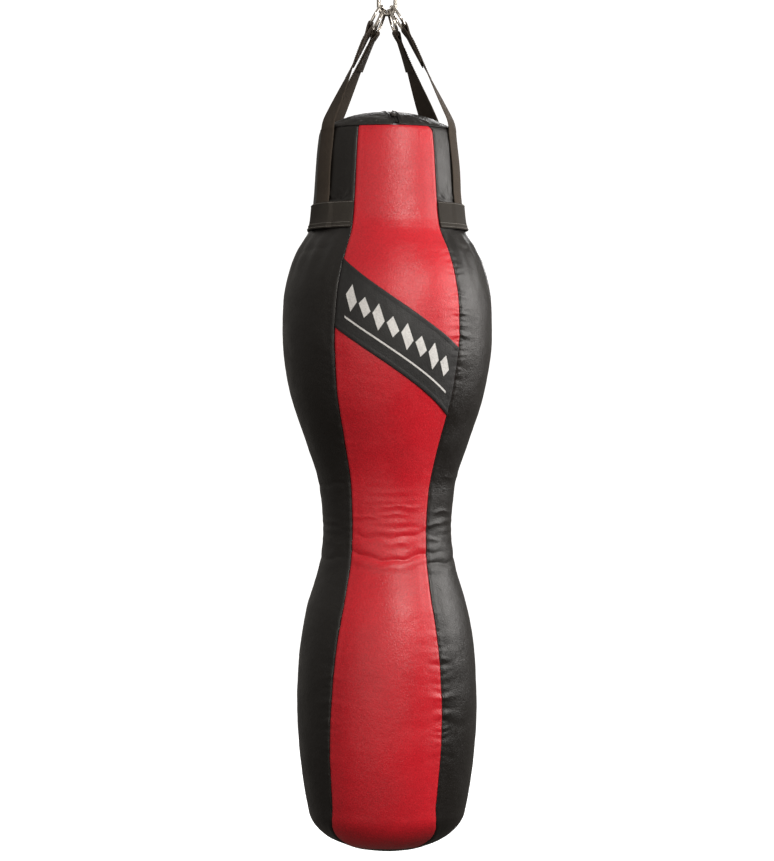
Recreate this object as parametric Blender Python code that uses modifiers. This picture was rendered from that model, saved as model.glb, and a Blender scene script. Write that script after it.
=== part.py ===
"""Body-shaped grappling dummy that hangs from a snap hook on four webbing straps.

Metres, +Z up, -Y is the front with the red panel. The origin is the inside top of the snap hook, where the
hook bears on whatever carries the dummy. Depths are measured downwards from the centre of the hook's
bottom wire, so a point at depth d has z = BOW_Z - d. Directions round the body are angles from the front,
positive towards +X.
"""

import math

import bmesh
import bpy
from mathutils import Matrix, Vector

# Snap hook and its gate
HOOK_LENGTH = 0.080
HOOK_WIDTH = 0.040
HOOK_WIRE = 0.008
BOW_RADIUS = (HOOK_WIDTH - HOOK_WIRE) / 2
BOW_Z = 1.5 * HOOK_WIRE - HOOK_LENGTH
LEG = HOOK_LENGTH - HOOK_WIDTH
TONGUE = 0.0034
TONGUE_END = 0.0040
PIVOT_HEIGHT = 0.0240
GATE_FOOT, GATE_TOP = 0.0205, 0.0530
GATE_SLOT = 0.0042
LOWER_SLOT_TOP, UPPER_SLOT_FOOT = 0.0290, 0.0460
SPRING_BORE = 0.0046
SPRING_FOOT, SPRING_TOP = 0.0312, 0.0394
SPRING_TURNS = 4.5
SPRING_RADIUS, SPRING_WIRE = 0.0016, 0.0008
PLUNGER_RADIUS = 0.0018
HEEL_GAP = 0.0018
NOSE_GAP = 0.0012
PIN_RADIUS, PIN_HOLE = 0.0014, 0.0017
RIVET_HEAD, RIVET_HEAD_THICK = 0.0023, 0.0008

# Welded rings: (name, angle round the hook's bow, turn of the ring's plane, extra lean, strap direction)
RING_RADIUS = 0.028
RING_WIRE = 0.006
RING_GAP = 0.0005
RINGS = (
    ("front_left", -75.0, -8.0, (-0.131, 0.005), -59.5),
    ("rear_left", -25.6, -4.3, (0.031, -0.155), -123.5),
    ("rear_right", 25.6, 4.3, (-0.031, -0.155), 136.5),
    ("front_right", 75.0, 6.0, (0.131, 0.0), 72.5),
)

# Webbing
WEBBING = 0.0508
STRAP_WIDTH = 0.050
STRAP_THICK = 0.0025
LOOP_CLEARANCE = 0.00055
TAIL_LENGTH = 0.075
BELT_THICK = 0.0022
BELT_TOP = 0.373
BELT_STEPS = 84
BELT_OVER_STRAP, BELT_EASE = 11.5, 5.0

# Covers
VINYL = 0.0015
LINER = 0.0008
GAP = 0.0003
NEST_GAP = 0.0006
LAY_ON = 0.0008
DOME_RADIUS = 0.262
DOME_TOP = 0.191
BASE_RADIUS = 0.080
BASE_DEPTH = 1.628
CORNER_DEPTH = 1.545

# Outline of the filled body below the rim: (depth, radius)
OUTLINE = (
    (0.2290, 0.1315), (0.264, 0.1360), (0.318, 0.1400), (BELT_TOP, 0.1440), (0.426, 0.1525),
    (0.459, 0.1715), (0.498, 0.1885), (0.540, 0.1990), (0.590, 0.2025), (0.645, 0.2020),
    (0.700, 0.1955), (0.752, 0.1840), (0.830, 0.1580), (0.905, 0.1330), (0.955, 0.1265),
    (1.015, 0.1240), (1.060, 0.1280), (1.100, 0.1385), (1.155, 0.1550), (1.220, 0.1670),
    (1.300, 0.1725), (1.376, 0.1725), (1.440, 0.1680), (1.493, 0.1610), (CORNER_DEPTH, 0.1520),
)
# Heading of the front panel's middle, and half of its width in degrees, by depth
HEADING = (
    (0.191, 8.5), (0.459, 7.9), (0.635, 6.9), (0.947, 3.2), (1.142, 0.9), (1.337, -0.4), (1.560, -3.2),
)
HALF_FRONT = (
    (0.229, 33.0), (0.459, 34.5), (0.635, 36.7), (1.025, 35.6), (1.142, 34.4), (1.337, 38.4),
    (1.532, 41.0), (1.595, 50.0),
)
HEAD_HEADING = 8.0
COLUMNS = 5

# Printed band across the chest: depth of its two edges at the left and the right seam
BAND_UPPER = (0.484, 0.654)
BAND_LOWER = (0.616, 0.784)
BAND_THICK = 0.0010
BAND_LIFT = 0.0012

# Zip across the crown, front to rear
ZIP_GAP = 0.012
ZIP_HALF = 0.0865
TAPE_HALF = 0.118
TAPE_WIDTH = 0.014
TAPE_THICK = 0.0008
CHAIN_WIDTH = 0.005
SLIDER_ANGLE = 17.5
SLIDER_SIZE = (0.0098, 0.0120, 0.0022)
PULL_LENGTH, PULL_WIDTH, PULL_THICK = 0.028, 0.0074, 0.0013

# Packed textile filling: depths where one rammed load ends and the next begins
FILL_BREAKS = (0.426, 0.645, 0.830, 1.015, 1.220, 1.440)

collections = {}


def clear_scene():
    for obj in list(bpy.data.objects):
        bpy.data.objects.remove(obj, do_unlink=True)
    for name in ("grappling_dummy", "cutters"):
        collections[name] = bpy.data.collections.new(name)
        bpy.context.scene.collection.children.link(collections[name])


def material(name, colour, roughness, metallic=0.0):
    found = bpy.data.materials.get(name)
    if found:
        return found
    made = bpy.data.materials.new(name)
    made.use_nodes = True
    shader = made.node_tree.nodes["Principled BSDF"]
    shader.inputs["Base Color"].default_value = (*colour, 1.0)
    shader.inputs["Roughness"].default_value = roughness
    shader.inputs["Metallic"].default_value = metallic
    made.diffuse_color = (*colour, 1.0)
    return made


RED_VINYL = ("red_vinyl", (0.55, 0.02, 0.035), 0.42)
BLACK_VINYL = ("black_vinyl", (0.025, 0.024, 0.023), 0.38)
WEBBING_CLOTH = ("webbing", (0.045, 0.035, 0.028), 0.85)
LINER_CLOTH = ("liner_cloth", (0.60, 0.58, 0.54), 0.90)
FILL_CLOTH = ("textile_fill", (0.35, 0.34, 0.36), 0.95)
CHROME = ("chrome_steel", (0.78, 0.77, 0.75), 0.12, 1.0)
ZINC = ("zinc_steel", (0.52, 0.52, 0.51), 0.38, 1.0)
ZIP_METAL = ("zip_metal", (0.45, 0.44, 0.42), 0.35, 1.0)
ZIP_CLOTH = ("zip_tape", (0.03, 0.03, 0.03), 0.85)


def finish(name, mesh, look, origin=(0, 0, 0), smooth=40.0, collection="grappling_dummy"):
    """Makes a node from a mesh in world coordinates, with the object's own origin where it is asked for."""
    mesh.transform(Matrix.Translation(-Vector(origin)))
    mesh.shade_smooth()
    mesh.set_sharp_from_angle(angle=math.radians(smooth))
    mesh.materials.clear()
    mesh.materials.append(material(*look))
    obj = bpy.data.objects.new(name, mesh)
    obj.location = origin
    collections[collection].objects.link(obj)
    return obj


def between(table, depth):
    """Straight-line reading of a (depth, value) table, held level past both ends."""
    if depth <= table[0][0]:
        return table[0][1]
    for (d0, v0), (d1, v1) in zip(table, table[1:]):
        if depth <= d1:
            return v0 + (v1 - v0) * (depth - d0) / (d1 - d0)
    return table[-1][1]


def ease(x):
    x = min(max(x, 0.0), 1.0)
    return x * x * (3 - 2 * x)


def on_body(angle, radius, depth):
    """World point at an angle in degrees from the front, a radius from the body's axis and a depth."""
    turn = math.radians(angle)
    return Vector((radius * math.sin(turn), -radius * math.cos(turn), BOW_Z - depth))


def base_arc(radii):
    """Depths along the rounded base, a quarter ellipse below the last station, for the given radii."""
    edge = OUTLINE[-1][1]
    drop = BASE_DEPTH - CORNER_DEPTH
    return [(CORNER_DEPTH + drop * math.sqrt(1 - (r / edge) ** 2), r) for r in radii]


WALL = list(OUTLINE) + base_arc((0.147, 0.137, 0.120, 0.101, BASE_RADIUS))
BASE = base_arc((BASE_RADIUS, 0.054, 0.027))
DOME_CENTRE = DOME_TOP + DOME_RADIUS


def offset_rows(rows, distance):
    """Moves an outline of (depth, radius) rows outwards along its normals by a distance."""
    moved = []
    for i, (depth, radius) in enumerate(rows):
        d0, r0 = rows[max(i - 1, 0)]
        d1, r1 = rows[min(i + 1, len(rows) - 1)]
        slope = Vector((d1 - d0, r1 - r0)).normalized()
        moved.append((depth - slope.y * distance, radius + slope.x * distance))
    return moved


def sheet(name, grid, thick, look, grow=1, around=False, origin=(0, 0, 0)):
    """A thin solid: a grid of points given row by row, thickened outwards (1), inwards (-1) or both ways (0)."""
    work = bmesh.new()
    points = [[work.verts.new(p) for p in row] for row in grid]
    for upper, lower in zip(points, points[1:]):
        pairs = list(zip(range(len(upper)), range(1, len(upper))))
        if around:
            pairs.append((len(upper) - 1, 0))
        for i, j in pairs:
            work.faces.new((upper[i], lower[i], lower[j], upper[j]))
    mesh = bpy.data.meshes.new(name)
    work.to_mesh(mesh)
    work.free()
    obj = finish(name, mesh, look, origin)
    solid = obj.modifiers.new("thickness", "SOLIDIFY")
    solid.thickness = thick
    solid.offset = grow
    return obj


def turned_solid(name, rows, angles, look, cap_top=True, cap_base=True):
    """A closed or open stack of loops round the body's axis; angles(depth) gives each loop's directions."""
    work = bmesh.new()
    loops = [[work.verts.new(on_body(a, r, d)) for a in angles(d)] for d, r in rows]
    for upper, lower in zip(loops, loops[1:]):
        for i in range(len(upper)):
            j = (i + 1) % len(upper)
            work.faces.new((upper[i], lower[i], lower[j], upper[j]))
    if cap_top:
        work.faces.new(loops[0])
    if cap_base:
        work.faces.new(loops[-1][::-1])
    mesh = bpy.data.meshes.new(name)
    work.to_mesh(mesh)
    work.free()
    return finish(name, mesh, look)


def seam_angles(depth):
    """The five seams round the body at a depth: both sides of the front panel, then the three behind."""
    middle = between(HEADING, depth)
    half = between(HALF_FRONT, depth)
    rest = (360 - 2 * half) / 4
    return [middle - half] + [middle + half + rest * k for k in range(5)]


def all_angles(depth):
    seams = seam_angles(depth)
    found = []
    for left, right in zip(seams, seams[1:]):
        found += [left + (right - left) * k / COLUMNS for k in range(COLUMNS)]
    return found


def panel(name, index, look):
    """One gore of the cover, from just under the crown's edge to the base disc."""
    grid = []
    rows = list(WALL)
    rows[0] = (rows[0][0] + 0.0006, rows[0][1])
    rows[-1] = offset_towards(rows[-2], rows[-1], 0.0004)
    for depth, radius in rows:
        left, right = seam_angles(depth)[index:index + 2]
        inset = math.degrees(0.00025 / radius)
        left, right = left + inset, right - inset
        grid.append([on_body(left + (right - left) * k / COLUMNS, radius, depth) for k in range(COLUMNS + 1)])
    sheet(name, grid, VINYL, look, grow=-1)


def offset_towards(start, end, short):
    """The end of a straight stretch of outline, pulled back by a short distance."""
    step = Vector(end) - Vector(start)
    step *= 1 - short / step.length
    return (start[0] + step.x, start[1] + step.y)


def diagonal_band():
    """A strip sewn over the front panel, sloping down from its left seam to its right seam."""
    columns, rows = 16, 9
    grid = [[None] * (columns + 1) for _ in range(rows + 1)]
    for j in range(columns + 1):
        for i in range(rows + 1):
            down = i / rows
            left_depth = BAND_UPPER[0] + (BAND_LOWER[0] - BAND_UPPER[0]) * down
            right_depth = BAND_UPPER[1] + (BAND_LOWER[1] - BAND_UPPER[1]) * down
            across = j / columns
            depth = left_depth + (right_depth - left_depth) * across
            left, right = seam_angles(depth)[:2]
            angle = left + (right - left) * (0.004 + 0.992 * across)
            grid[i][j] = on_body(angle, between(OUTLINE, depth) + BAND_LIFT, depth)
    sheet("diagonal_band", grid, BAND_THICK, BLACK_VINYL, grow=1)


def crown_point(across, along, rise=0.0):
    """A point on the domed crown, across and along the zip, raised along the dome's normal."""
    reach = DOME_RADIUS + rise
    scale = reach / DOME_RADIUS
    turn = Matrix.Rotation(math.radians(HEAD_HEADING), 3, "Z")
    height = math.sqrt(DOME_RADIUS**2 - across**2 - along**2) * scale
    return turn @ Vector((across * scale, along * scale, height)) + Vector((0, 0, BOW_Z - DOME_CENTRE))


def crown():
    """Two halves of the crown, one each side of the zip, and everything of the zip that doesn't move."""
    rim = OUTLINE[0][1] - 0.0003
    for side, name in ((-1, "crown_left"), (1, "crown_right")):
        grid = []
        for across in (ZIP_GAP / 2, 0.030, 0.058, 0.085, 0.107, 0.122, 0.1295):
            reach = math.sqrt(rim**2 - across**2)
            line = [crown_point(side * across, reach * (k / 6 - 1)) for k in range(13)]
            grid.append(line[::side])
        sheet(name, grid, VINYL, BLACK_VINYL, grow=-1)
        low = -VINYL - 0.0010
        tape = []
        for across in (GAP / 2, TAPE_WIDTH / 2, TAPE_WIDTH):
            line = [crown_point(side * across, TAPE_HALF * (k / 8 - 1), low) for k in range(17)]
            tape.append(line[::side])
        sheet(f"zip_tape_{name[6:]}", tape, TAPE_THICK, ZIP_CLOTH, grow=-1)
    chain = [[crown_point(across, ZIP_HALF * (k / 12 - 1), -0.0020) for k in range(25)]
             for across in (-CHAIN_WIDTH / 2, CHAIN_WIDTH / 2)]
    sheet("zip_chain", chain, 0.0020, ZIP_METAL, grow=1)


def crown_frame(along_angle, rise):
    """Places a piece on the zip: its own X across, Y along to the rear and Z out of the crown."""
    turn = Matrix.Rotation(math.radians(HEAD_HEADING), 4, "Z")
    tilt = Matrix.Rotation(-math.radians(along_angle), 4, "X")
    centre = Matrix.Translation((0, 0, BOW_Z - DOME_CENTRE))
    return centre @ turn @ tilt @ Matrix.Translation((0, 0, DOME_RADIUS + rise))


def box(size, centre, place):
    """A mesh of one box, in world coordinates."""
    work = bmesh.new()
    bmesh.ops.create_cube(work, size=1.0)
    shape = place @ Matrix.Translation(centre) @ Matrix.Diagonal((*size, 1))
    bmesh.ops.transform(work, matrix=shape, verts=work.verts)
    mesh = bpy.data.meshes.new("box")
    work.to_mesh(mesh)
    work.free()
    return mesh


def rod(radius, start, end, sides=16):
    """A mesh of one round rod between two world points."""
    start, end = Vector(start), Vector(end)
    way = end - start
    place = Matrix.Translation((start + end) / 2) @ way.to_track_quat("Z", "Y").to_matrix().to_4x4()
    work = bmesh.new()
    bmesh.ops.create_cone(work, cap_ends=True, segments=sides, radius1=radius, radius2=radius,
                          depth=way.length, matrix=place)
    mesh = bpy.data.meshes.new("rod")
    work.to_mesh(mesh)
    work.free()
    return mesh


def combine(obj, mesh, operation, origin=(0, 0, 0)):
    """Cuts or joins a helper mesh, kept as a hidden wire object, with a Boolean on the piece."""
    helper = finish(f"{obj.name}_{operation.lower()}_{len(obj.modifiers)}", mesh, ZINC, origin,
                    collection="cutters")
    helper.hide_render = True
    helper.display_type = "WIRE"
    change = obj.modifiers.new(helper.name, "BOOLEAN")
    change.operation = operation
    change.object = helper
    change.solver = "EXACT"


def wire_mesh(name, points, radius, sides=2):
    """The mesh of a round wire along points, with its caps welded."""
    curve = bpy.data.curves.new(name, "CURVE")
    curve.dimensions = "3D"
    curve.bevel_depth = radius
    curve.bevel_resolution = sides
    curve.use_fill_caps = True
    spline = curve.splines.new("POLY")
    spline.points.add(len(points) - 1)
    for point, place in zip(spline.points, points):
        point.co = (*place, 1)
    guide = bpy.data.objects.new(name, curve)
    bpy.context.scene.collection.objects.link(guide)
    graph = bpy.context.evaluated_depsgraph_get()
    mesh = bpy.data.meshes.new_from_object(guide.evaluated_get(graph))
    bpy.data.objects.remove(guide)
    work = bmesh.new()
    work.from_mesh(mesh)
    bmesh.ops.remove_doubles(work, verts=work.verts, dist=0.00001)
    work.to_mesh(mesh)
    work.free()
    return mesh


def arc(centre_height, start, end, steps):
    """Points of the hook's centre line round one bow, angles measured from straight down."""
    found = []
    for k in range(steps + 1):
        turn = math.radians(start + (end - start) * k / steps)
        across = BOW_RADIUS * math.sin(turn)
        up = centre_height - BOW_RADIUS * math.cos(turn)
        found.append(Vector((across, 0, BOW_Z + up)))
    return found


def snap_hook():
    """The bent wire with its pivot tongue and nose, then the gate, its rivet, spring and plunger."""
    side = BOW_RADIUS
    upper = BOW_RADIUS + LEG
    nose = Vector((side, 0, BOW_Z + upper - 0.0020))
    heel = Vector((side, 0, BOW_Z + GATE_FOOT - HEEL_GAP))
    line = [nose] + arc(upper, 90, 270, 16) + arc(BOW_RADIUS, -90, 90, 16) + [heel]
    hook = finish("snap_hook_body", wire_mesh("snap_hook_body", line, HOOK_WIRE / 2), ZINC)
    pivot = Vector((side, 0, BOW_Z + PIVOT_HEIGHT))
    here = Matrix.Translation(pivot)
    neck = PIVOT_HEIGHT - GATE_FOOT + 0.0032
    combine(hook, box((2 * TONGUE_END, TONGUE, neck), (0, 0, -neck / 2), here), "UNION")
    reach = Vector((0, TONGUE / 2, 0))
    combine(hook, rod(TONGUE_END, pivot - reach, pivot + reach, 20), "UNION")
    tip = upper + 0.0010 - UPPER_SLOT_FOOT - NOSE_GAP
    nose_place = Matrix.Translation((side, 0, BOW_Z + upper + 0.0010 - tip / 2))
    combine(hook, box((0.0062, TONGUE, tip), (0, 0, 0), nose_place), "UNION")
    pin = Vector((0, 0.01, 0))
    combine(hook, rod(PIN_HOLE, pivot - pin, pivot + pin), "DIFFERENCE")

    foot = Vector((side, 0, BOW_Z + GATE_FOOT))
    top = Vector((side, 0, BOW_Z + GATE_TOP))
    gate = finish("snap_hook_gate", rod(HOOK_WIRE / 2, foot, top, 20), ZINC, pivot)
    low = Matrix.Translation((side, 0, BOW_Z))
    combine(gate, box((0.02, GATE_SLOT, 0.02), (0, 0, LOWER_SLOT_TOP - 0.01), low), "DIFFERENCE")
    combine(gate, box((0.02, GATE_SLOT, 0.02), (0, 0, UPPER_SLOT_FOOT + 0.01), low), "DIFFERENCE")
    bore = low @ Vector((0, 0, SPRING_TOP + GAP))
    combine(gate, rod(SPRING_BORE / 2, low @ Vector((0, 0, LOWER_SLOT_TOP - 0.002)), bore), "DIFFERENCE")
    combine(gate, rod(PIN_HOLE, pivot - pin, pivot + pin), "DIFFERENCE")

    half = HOOK_WIRE / 2 + GAP
    reach = Vector((0, half + RIVET_HEAD_THICK / 2, 0))
    rivet = finish("gate_rivet", rod(PIN_RADIUS, pivot - reach, pivot + reach, 12), ZINC, pivot)
    for way in (-1, 1):
        inner = pivot + Vector((0, way * half, 0))
        outer = inner + Vector((0, way * RIVET_HEAD_THICK, 0))
        combine(rivet, rod(RIVET_HEAD, inner, outer, 12), "UNION")
    coil = []
    steps = int(SPRING_TURNS * 8)
    for k in range(steps + 1):
        turn = 2 * math.pi * k / 8
        height = SPRING_FOOT + SPRING_WIRE / 2 + (SPRING_TOP - SPRING_FOOT - SPRING_WIRE) * k / steps
        coil.append(low @ Vector((SPRING_RADIUS * math.cos(turn), SPRING_RADIUS * math.sin(turn), height)))
    finish("gate_spring", wire_mesh("gate_spring", coil, SPRING_WIRE / 2, 0), ZINC)
    seat = low @ Vector((0, 0, SPRING_FOOT - GAP))
    tappet = low @ Vector((0, 0, PIVOT_HEIGHT + TONGUE_END + GAP))
    finish("gate_plunger", rod(PLUNGER_RADIUS, tappet, seat, 12), ZINC)


def hanging(bow_angle, plane_turn, lean, strap_angle):
    """Where a ring hangs: its centre, the way down it, the way across it and the strap's way outwards."""
    turn = math.radians(bow_angle)
    reach = BOW_RADIUS - HOOK_WIRE / 2 - RING_WIRE / 2 - RING_GAP
    top = Vector((reach * math.sin(turn), 0, BOW_Z + BOW_RADIUS - reach * math.cos(turn)))
    edge = on_body(strap_angle, OUTLINE[0][1] + 0.0025, 0.2345)
    down = (edge - top).normalized() + Vector((*lean, 0))
    down.normalize()
    skew = math.radians(plane_turn)
    across = Vector((math.sin(skew), -math.cos(skew), 0))
    across = (across - across.dot(down) * down).normalized()
    out = across.cross(down)
    if out.dot(on_body(strap_angle, 1, 0)) < 0:
        out.negate()
    return top + RING_RADIUS * down, down, across, out


def ring(name, centre, out):
    """A round welded ring that turns about its own middle."""
    bpy.ops.mesh.primitive_torus_add(major_radius=RING_RADIUS, minor_radius=RING_WIRE / 2,
                                     major_segments=32, minor_segments=8)
    made = bpy.context.active_object
    mesh = made.data
    bpy.data.objects.remove(made)
    place = Matrix.Translation(centre) @ out.to_track_quat("Z", "Y").to_matrix().to_4x4()
    mesh.transform(place)
    finish(f"ring_{name}", mesh, CHROME, centre)


def strap(name, centre, down, across, out, strap_angle):
    """Webbing looped round a ring, its tail folded back inside, its long end laid down the head to the belt."""
    loop = RING_WIRE / 2 + LOOP_CLEARANCE + STRAP_THICK / 2
    apart = STRAP_THICK / 2 + 0.0003
    foot = centre + RING_RADIUS * down
    edge = on_body(strap_angle, OUTLINE[0][1] + LAY_ON + 0.0048, OUTLINE[0][0] + 0.0015)
    run = (edge - foot).length
    towards = (edge - foot).normalized()
    level = Vector((math.cos(math.radians(strap_angle)), math.sin(math.radians(strap_angle)), 0))
    if level.dot(across) < 0:
        level.negate()
    shares = [k / 2 - 1 for k in range(5)]

    def loop_row(turn):
        """Round the wire: the turn is 0 at the middle of the ring's hole."""
        row = []
        for share in shares:
            swing = share * STRAP_WIDTH / 2 / RING_RADIUS
            reach = RING_RADIUS - loop * math.cos(turn)
            row.append(centre + reach * (math.sin(swing) * across + math.cos(swing) * down)
                       + loop * math.sin(turn) * out)
        return row

    def leg_row(length, side):
        """A straight leg below the ring; the side is 1 for the long end and -1 for the tail."""
        flat = ease(length / 0.060)
        spread = loop + (apart - loop) * ease(length / 0.018)
        turned = across.lerp(level, ease(length / run)).normalized()
        row = []
        for share in shares:
            swing = share * STRAP_WIDTH / 2 / RING_RADIUS
            aside = RING_RADIUS * math.sin(swing) * (1 - flat) + share * STRAP_WIDTH / 2 * flat
            sag = RING_RADIUS * (1 - math.cos(swing)) * (1 - flat)
            row.append(foot + towards * length + turned * aside - down * sag + out * side * spread)
        return row

    def flank_row(depth, lift):
        """Flat on the side of the head, curved to it across its width."""
        radius = between(OUTLINE, depth) + lift
        step = math.degrees(STRAP_WIDTH / 2 / radius)
        ends = 1 if level.dot(on_body(strap_angle + 90, 1, 0)) > 0 else -1
        return [on_body(strap_angle + ends * share * step, radius, depth) for share in shares]

    grid = [leg_row(length, -1) for length in (TAIL_LENGTH, 0.050, 0.030, 0.018, 0.009)]
    grid += [loop_row(math.radians(t)) for t in (-90, -60, -30, 0, 30, 60, 90)]
    grid += [leg_row(length, 1) for length in (0.009, 0.018, 0.030, 0.050, TAIL_LENGTH)]
    grid += [leg_row(TAIL_LENGTH + (run - TAIL_LENGTH) * k / 4, 1) for k in (1, 2, 3)]
    lift = LAY_ON + STRAP_THICK / 2
    rim_depth = OUTLINE[0][0]
    grid += [flank_row(rim_depth - 0.0015, lift + 0.0008), flank_row(rim_depth + 0.006, lift + 0.0006)]
    grid += [flank_row(depth, lift) for depth in (0.264, 0.318, BELT_TOP, BELT_TOP + WEBBING - 0.002)]
    sheet(f"strap_{name}", grid, STRAP_THICK, WEBBING_CLOTH, grow=0)


def belt():
    """Webbing round the sides and back at the neck, from one seam of the front panel to the other."""
    depths = (BELT_TOP, BELT_TOP + WEBBING)
    grid = []
    for depth in depths:
        seams = seam_angles(depth)
        start, end = seams[1] + 0.15, seams[5] - 0.15
        row = []
        for k in range(BELT_STEPS + 1):
            angle = start + (end - start) * k / BELT_STEPS
            lift = LAY_ON
            for _, _, _, _, strap_angle in RINGS:
                away = abs((angle - strap_angle + 180) % 360 - 180)
                over = ease(1 - (away - BELT_OVER_STRAP) / BELT_EASE)
                lift = max(lift, LAY_ON + over * (STRAP_THICK + LAY_ON))
            row.append(on_body(angle, between(OUTLINE, depth) + lift, depth))
        grid.append(row)
    sheet("neck_belt", grid, BELT_THICK, WEBBING_CLOTH, grow=1)


def base_panel():
    """The round panel that closes the bottom."""
    rows = [offset_towards(BASE[1], BASE[0], 0.0004)] + BASE[1:]
    disc = turned_solid("base_panel", rows, all_angles, BLACK_VINYL, cap_top=False)
    solid = disc.modifiers.new("thickness", "SOLIDIFY")
    solid.thickness = VINYL
    solid.offset = -1


def liner():
    """An open-mouthed sack that lies inside the cover and holds the filling."""
    rows = offset_rows(WALL + BASE[1:], -(VINYL + NEST_GAP))
    rows[0] = (rows[0][0] + 0.0100, rows[0][1] + 0.0008)
    sack = turned_solid("inner_liner", rows, all_angles, LINER_CLOTH, cap_top=False)
    solid = sack.modifiers.new("thickness", "SOLIDIFY")
    solid.thickness = LINER
    solid.offset = -1


def filling():
    """Rammed textile offcuts, one solid for each load."""
    depth_in = VINYL + 2 * NEST_GAP + LINER
    rows = offset_rows(WALL + BASE[1:], -depth_in)
    places = [d for d, _ in WALL + BASE[1:]]
    crown_rows = []
    under = VINYL + TAPE_THICK + 0.0020
    for radius in (0.030, 0.070, 0.105):
        reach = DOME_RADIUS - under
        crown_rows.append((DOME_CENTRE - math.sqrt(reach**2 - radius**2), radius))
    rows[0] = (rows[0][0] + 0.0045, rows[0][1])
    rows = crown_rows + rows
    places = [0.0] * len(crown_rows) + places
    breaks = [-1.0] + list(FILL_BREAKS) + [9.0]
    for number, (first, last) in enumerate(zip(breaks, breaks[1:]), 1):
        part = [row for row, place in zip(rows, places) if first <= place <= last]
        if number > 1:
            part[0] = (part[0][0] + GAP, part[0][1])
        turned_solid(f"textile_fill_{number}", part, all_angles, FILL_CLOTH)


def zip_fittings():
    """The slider at the closed front end, its pull, and the stops at both ends."""
    place = crown_frame(-SLIDER_ANGLE, 0.0)
    axis = Vector((0, 0, BOW_Z - DOME_CENTRE))
    top = 0.0030
    width, length, low = SLIDER_SIZE[0], SLIDER_SIZE[1], top - SLIDER_SIZE[2]
    slider = finish("zip_slider", box((width, length, top - low), (0, 0, (top + low) / 2), place), ZIP_METAL, axis)
    for side in (-1, 1):
        cheek = box((0.0018, length, top + 0.0010), (side * 0.0040, 0, (top - 0.0010) / 2 - 0.0002), place)
        combine(slider, cheek, "UNION", axis)
        post = box((0.0024, 0.0014, 0.0036), (0, side * 0.0042, top + 0.0016), place)
        combine(slider, post, "UNION", axis)
    combine(slider, box((0.0024, 0.0098, 0.0012), (0, 0, top + 0.0040), place), "UNION", axis)

    pivot = place @ Vector((0, 0, top + 0.0017))
    dip = place @ Matrix.Translation((0, 0, top + 0.0017)) @ Matrix.Rotation(math.radians(4), 4, "X")
    eye = 0.0065
    plate = PULL_LENGTH - eye
    shape = box((PULL_WIDTH, plate, PULL_THICK), (0, -eye - plate / 2, 0), dip)
    pull = finish("zip_pull", shape, ZIP_METAL, pivot)
    for side in (-1, 1):
        combine(pull, box((0.0018, 0.0086, PULL_THICK), (side * 0.0028, -0.0036, 0), dip), "UNION", pivot)
    combine(pull, box((PULL_WIDTH, PULL_THICK, PULL_THICK), (0, 0, 0), dip), "UNION", pivot)

    angle = math.degrees(math.asin(ZIP_HALF / DOME_RADIUS)) + 0.45
    for side, name in ((-1, "zip_stop_front"), (1, "zip_stop_rear")):
        finish(name, box((0.0060, 0.0024, 0.0022), (0, 0, -0.0004), crown_frame(side * angle, 0.0)), ZIP_METAL)


def build():
    clear_scene()
    snap_hook()
    for name, bow_angle, plane_turn, lean, strap_angle in RINGS:
        centre, down, across, out = hanging(bow_angle, plane_turn, lean, strap_angle)
        ring(name, centre, out)
        strap(name, centre, down, across, out, strap_angle)
    panel("front_panel", 0, RED_VINYL)
    for index, name in enumerate(("side_panel_right", "back_panel_right", "back_panel_left", "side_panel_left"), 1):
        panel(name, index, BLACK_VINYL)
    diagonal_band()
    belt()
    crown()
    zip_fittings()
    base_panel()
    liner()
    filling()


build()
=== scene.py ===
import math

import bmesh
import bpy
import numpy as np
from mathutils import Matrix, Vector


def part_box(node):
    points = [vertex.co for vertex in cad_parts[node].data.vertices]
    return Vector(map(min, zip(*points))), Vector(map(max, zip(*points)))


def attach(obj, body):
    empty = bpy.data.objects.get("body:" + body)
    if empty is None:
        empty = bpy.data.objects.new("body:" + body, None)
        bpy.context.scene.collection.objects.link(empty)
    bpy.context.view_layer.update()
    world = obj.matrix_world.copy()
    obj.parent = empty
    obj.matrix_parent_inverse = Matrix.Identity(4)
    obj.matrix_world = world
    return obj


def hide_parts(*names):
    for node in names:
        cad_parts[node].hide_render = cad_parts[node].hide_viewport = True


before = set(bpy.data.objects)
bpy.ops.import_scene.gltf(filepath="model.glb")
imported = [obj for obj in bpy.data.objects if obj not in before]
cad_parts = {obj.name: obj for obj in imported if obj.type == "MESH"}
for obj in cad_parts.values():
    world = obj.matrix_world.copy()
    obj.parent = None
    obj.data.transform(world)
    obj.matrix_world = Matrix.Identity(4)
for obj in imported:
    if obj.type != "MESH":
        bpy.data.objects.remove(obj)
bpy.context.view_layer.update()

# ---- Sizes of the design, metres and degrees ----
# Depths are measured down from the centre of the hook's bottom wire.
HOOK_WIRE = 0.008
BOW_RADIUS = 0.016
LEG = 0.040
BOW_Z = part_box("snap_hook_body")[0][2] + HOOK_WIRE / 2
PIVOT_HEIGHT = 0.024
RING_RADIUS = 0.028
RING_WIRE = 0.006
STRAP_WIDTH = 0.050
STRAP_THICK = 0.0025
WEBBING = 0.0508
BELT_TOP = 0.373
BELT_THICK = 0.0022
VINYL = 0.0014
DOME_RADIUS = 0.262
DOME_TOP = 0.191
DOME_CENTRE = DOME_TOP + DOME_RADIUS
HEAD_HEADING = 8.0
BASE_RADIUS = 0.080
BASE_DEPTH = 1.628
CORNER_DEPTH = 1.545
ZIP_HALF = 0.0865
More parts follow.
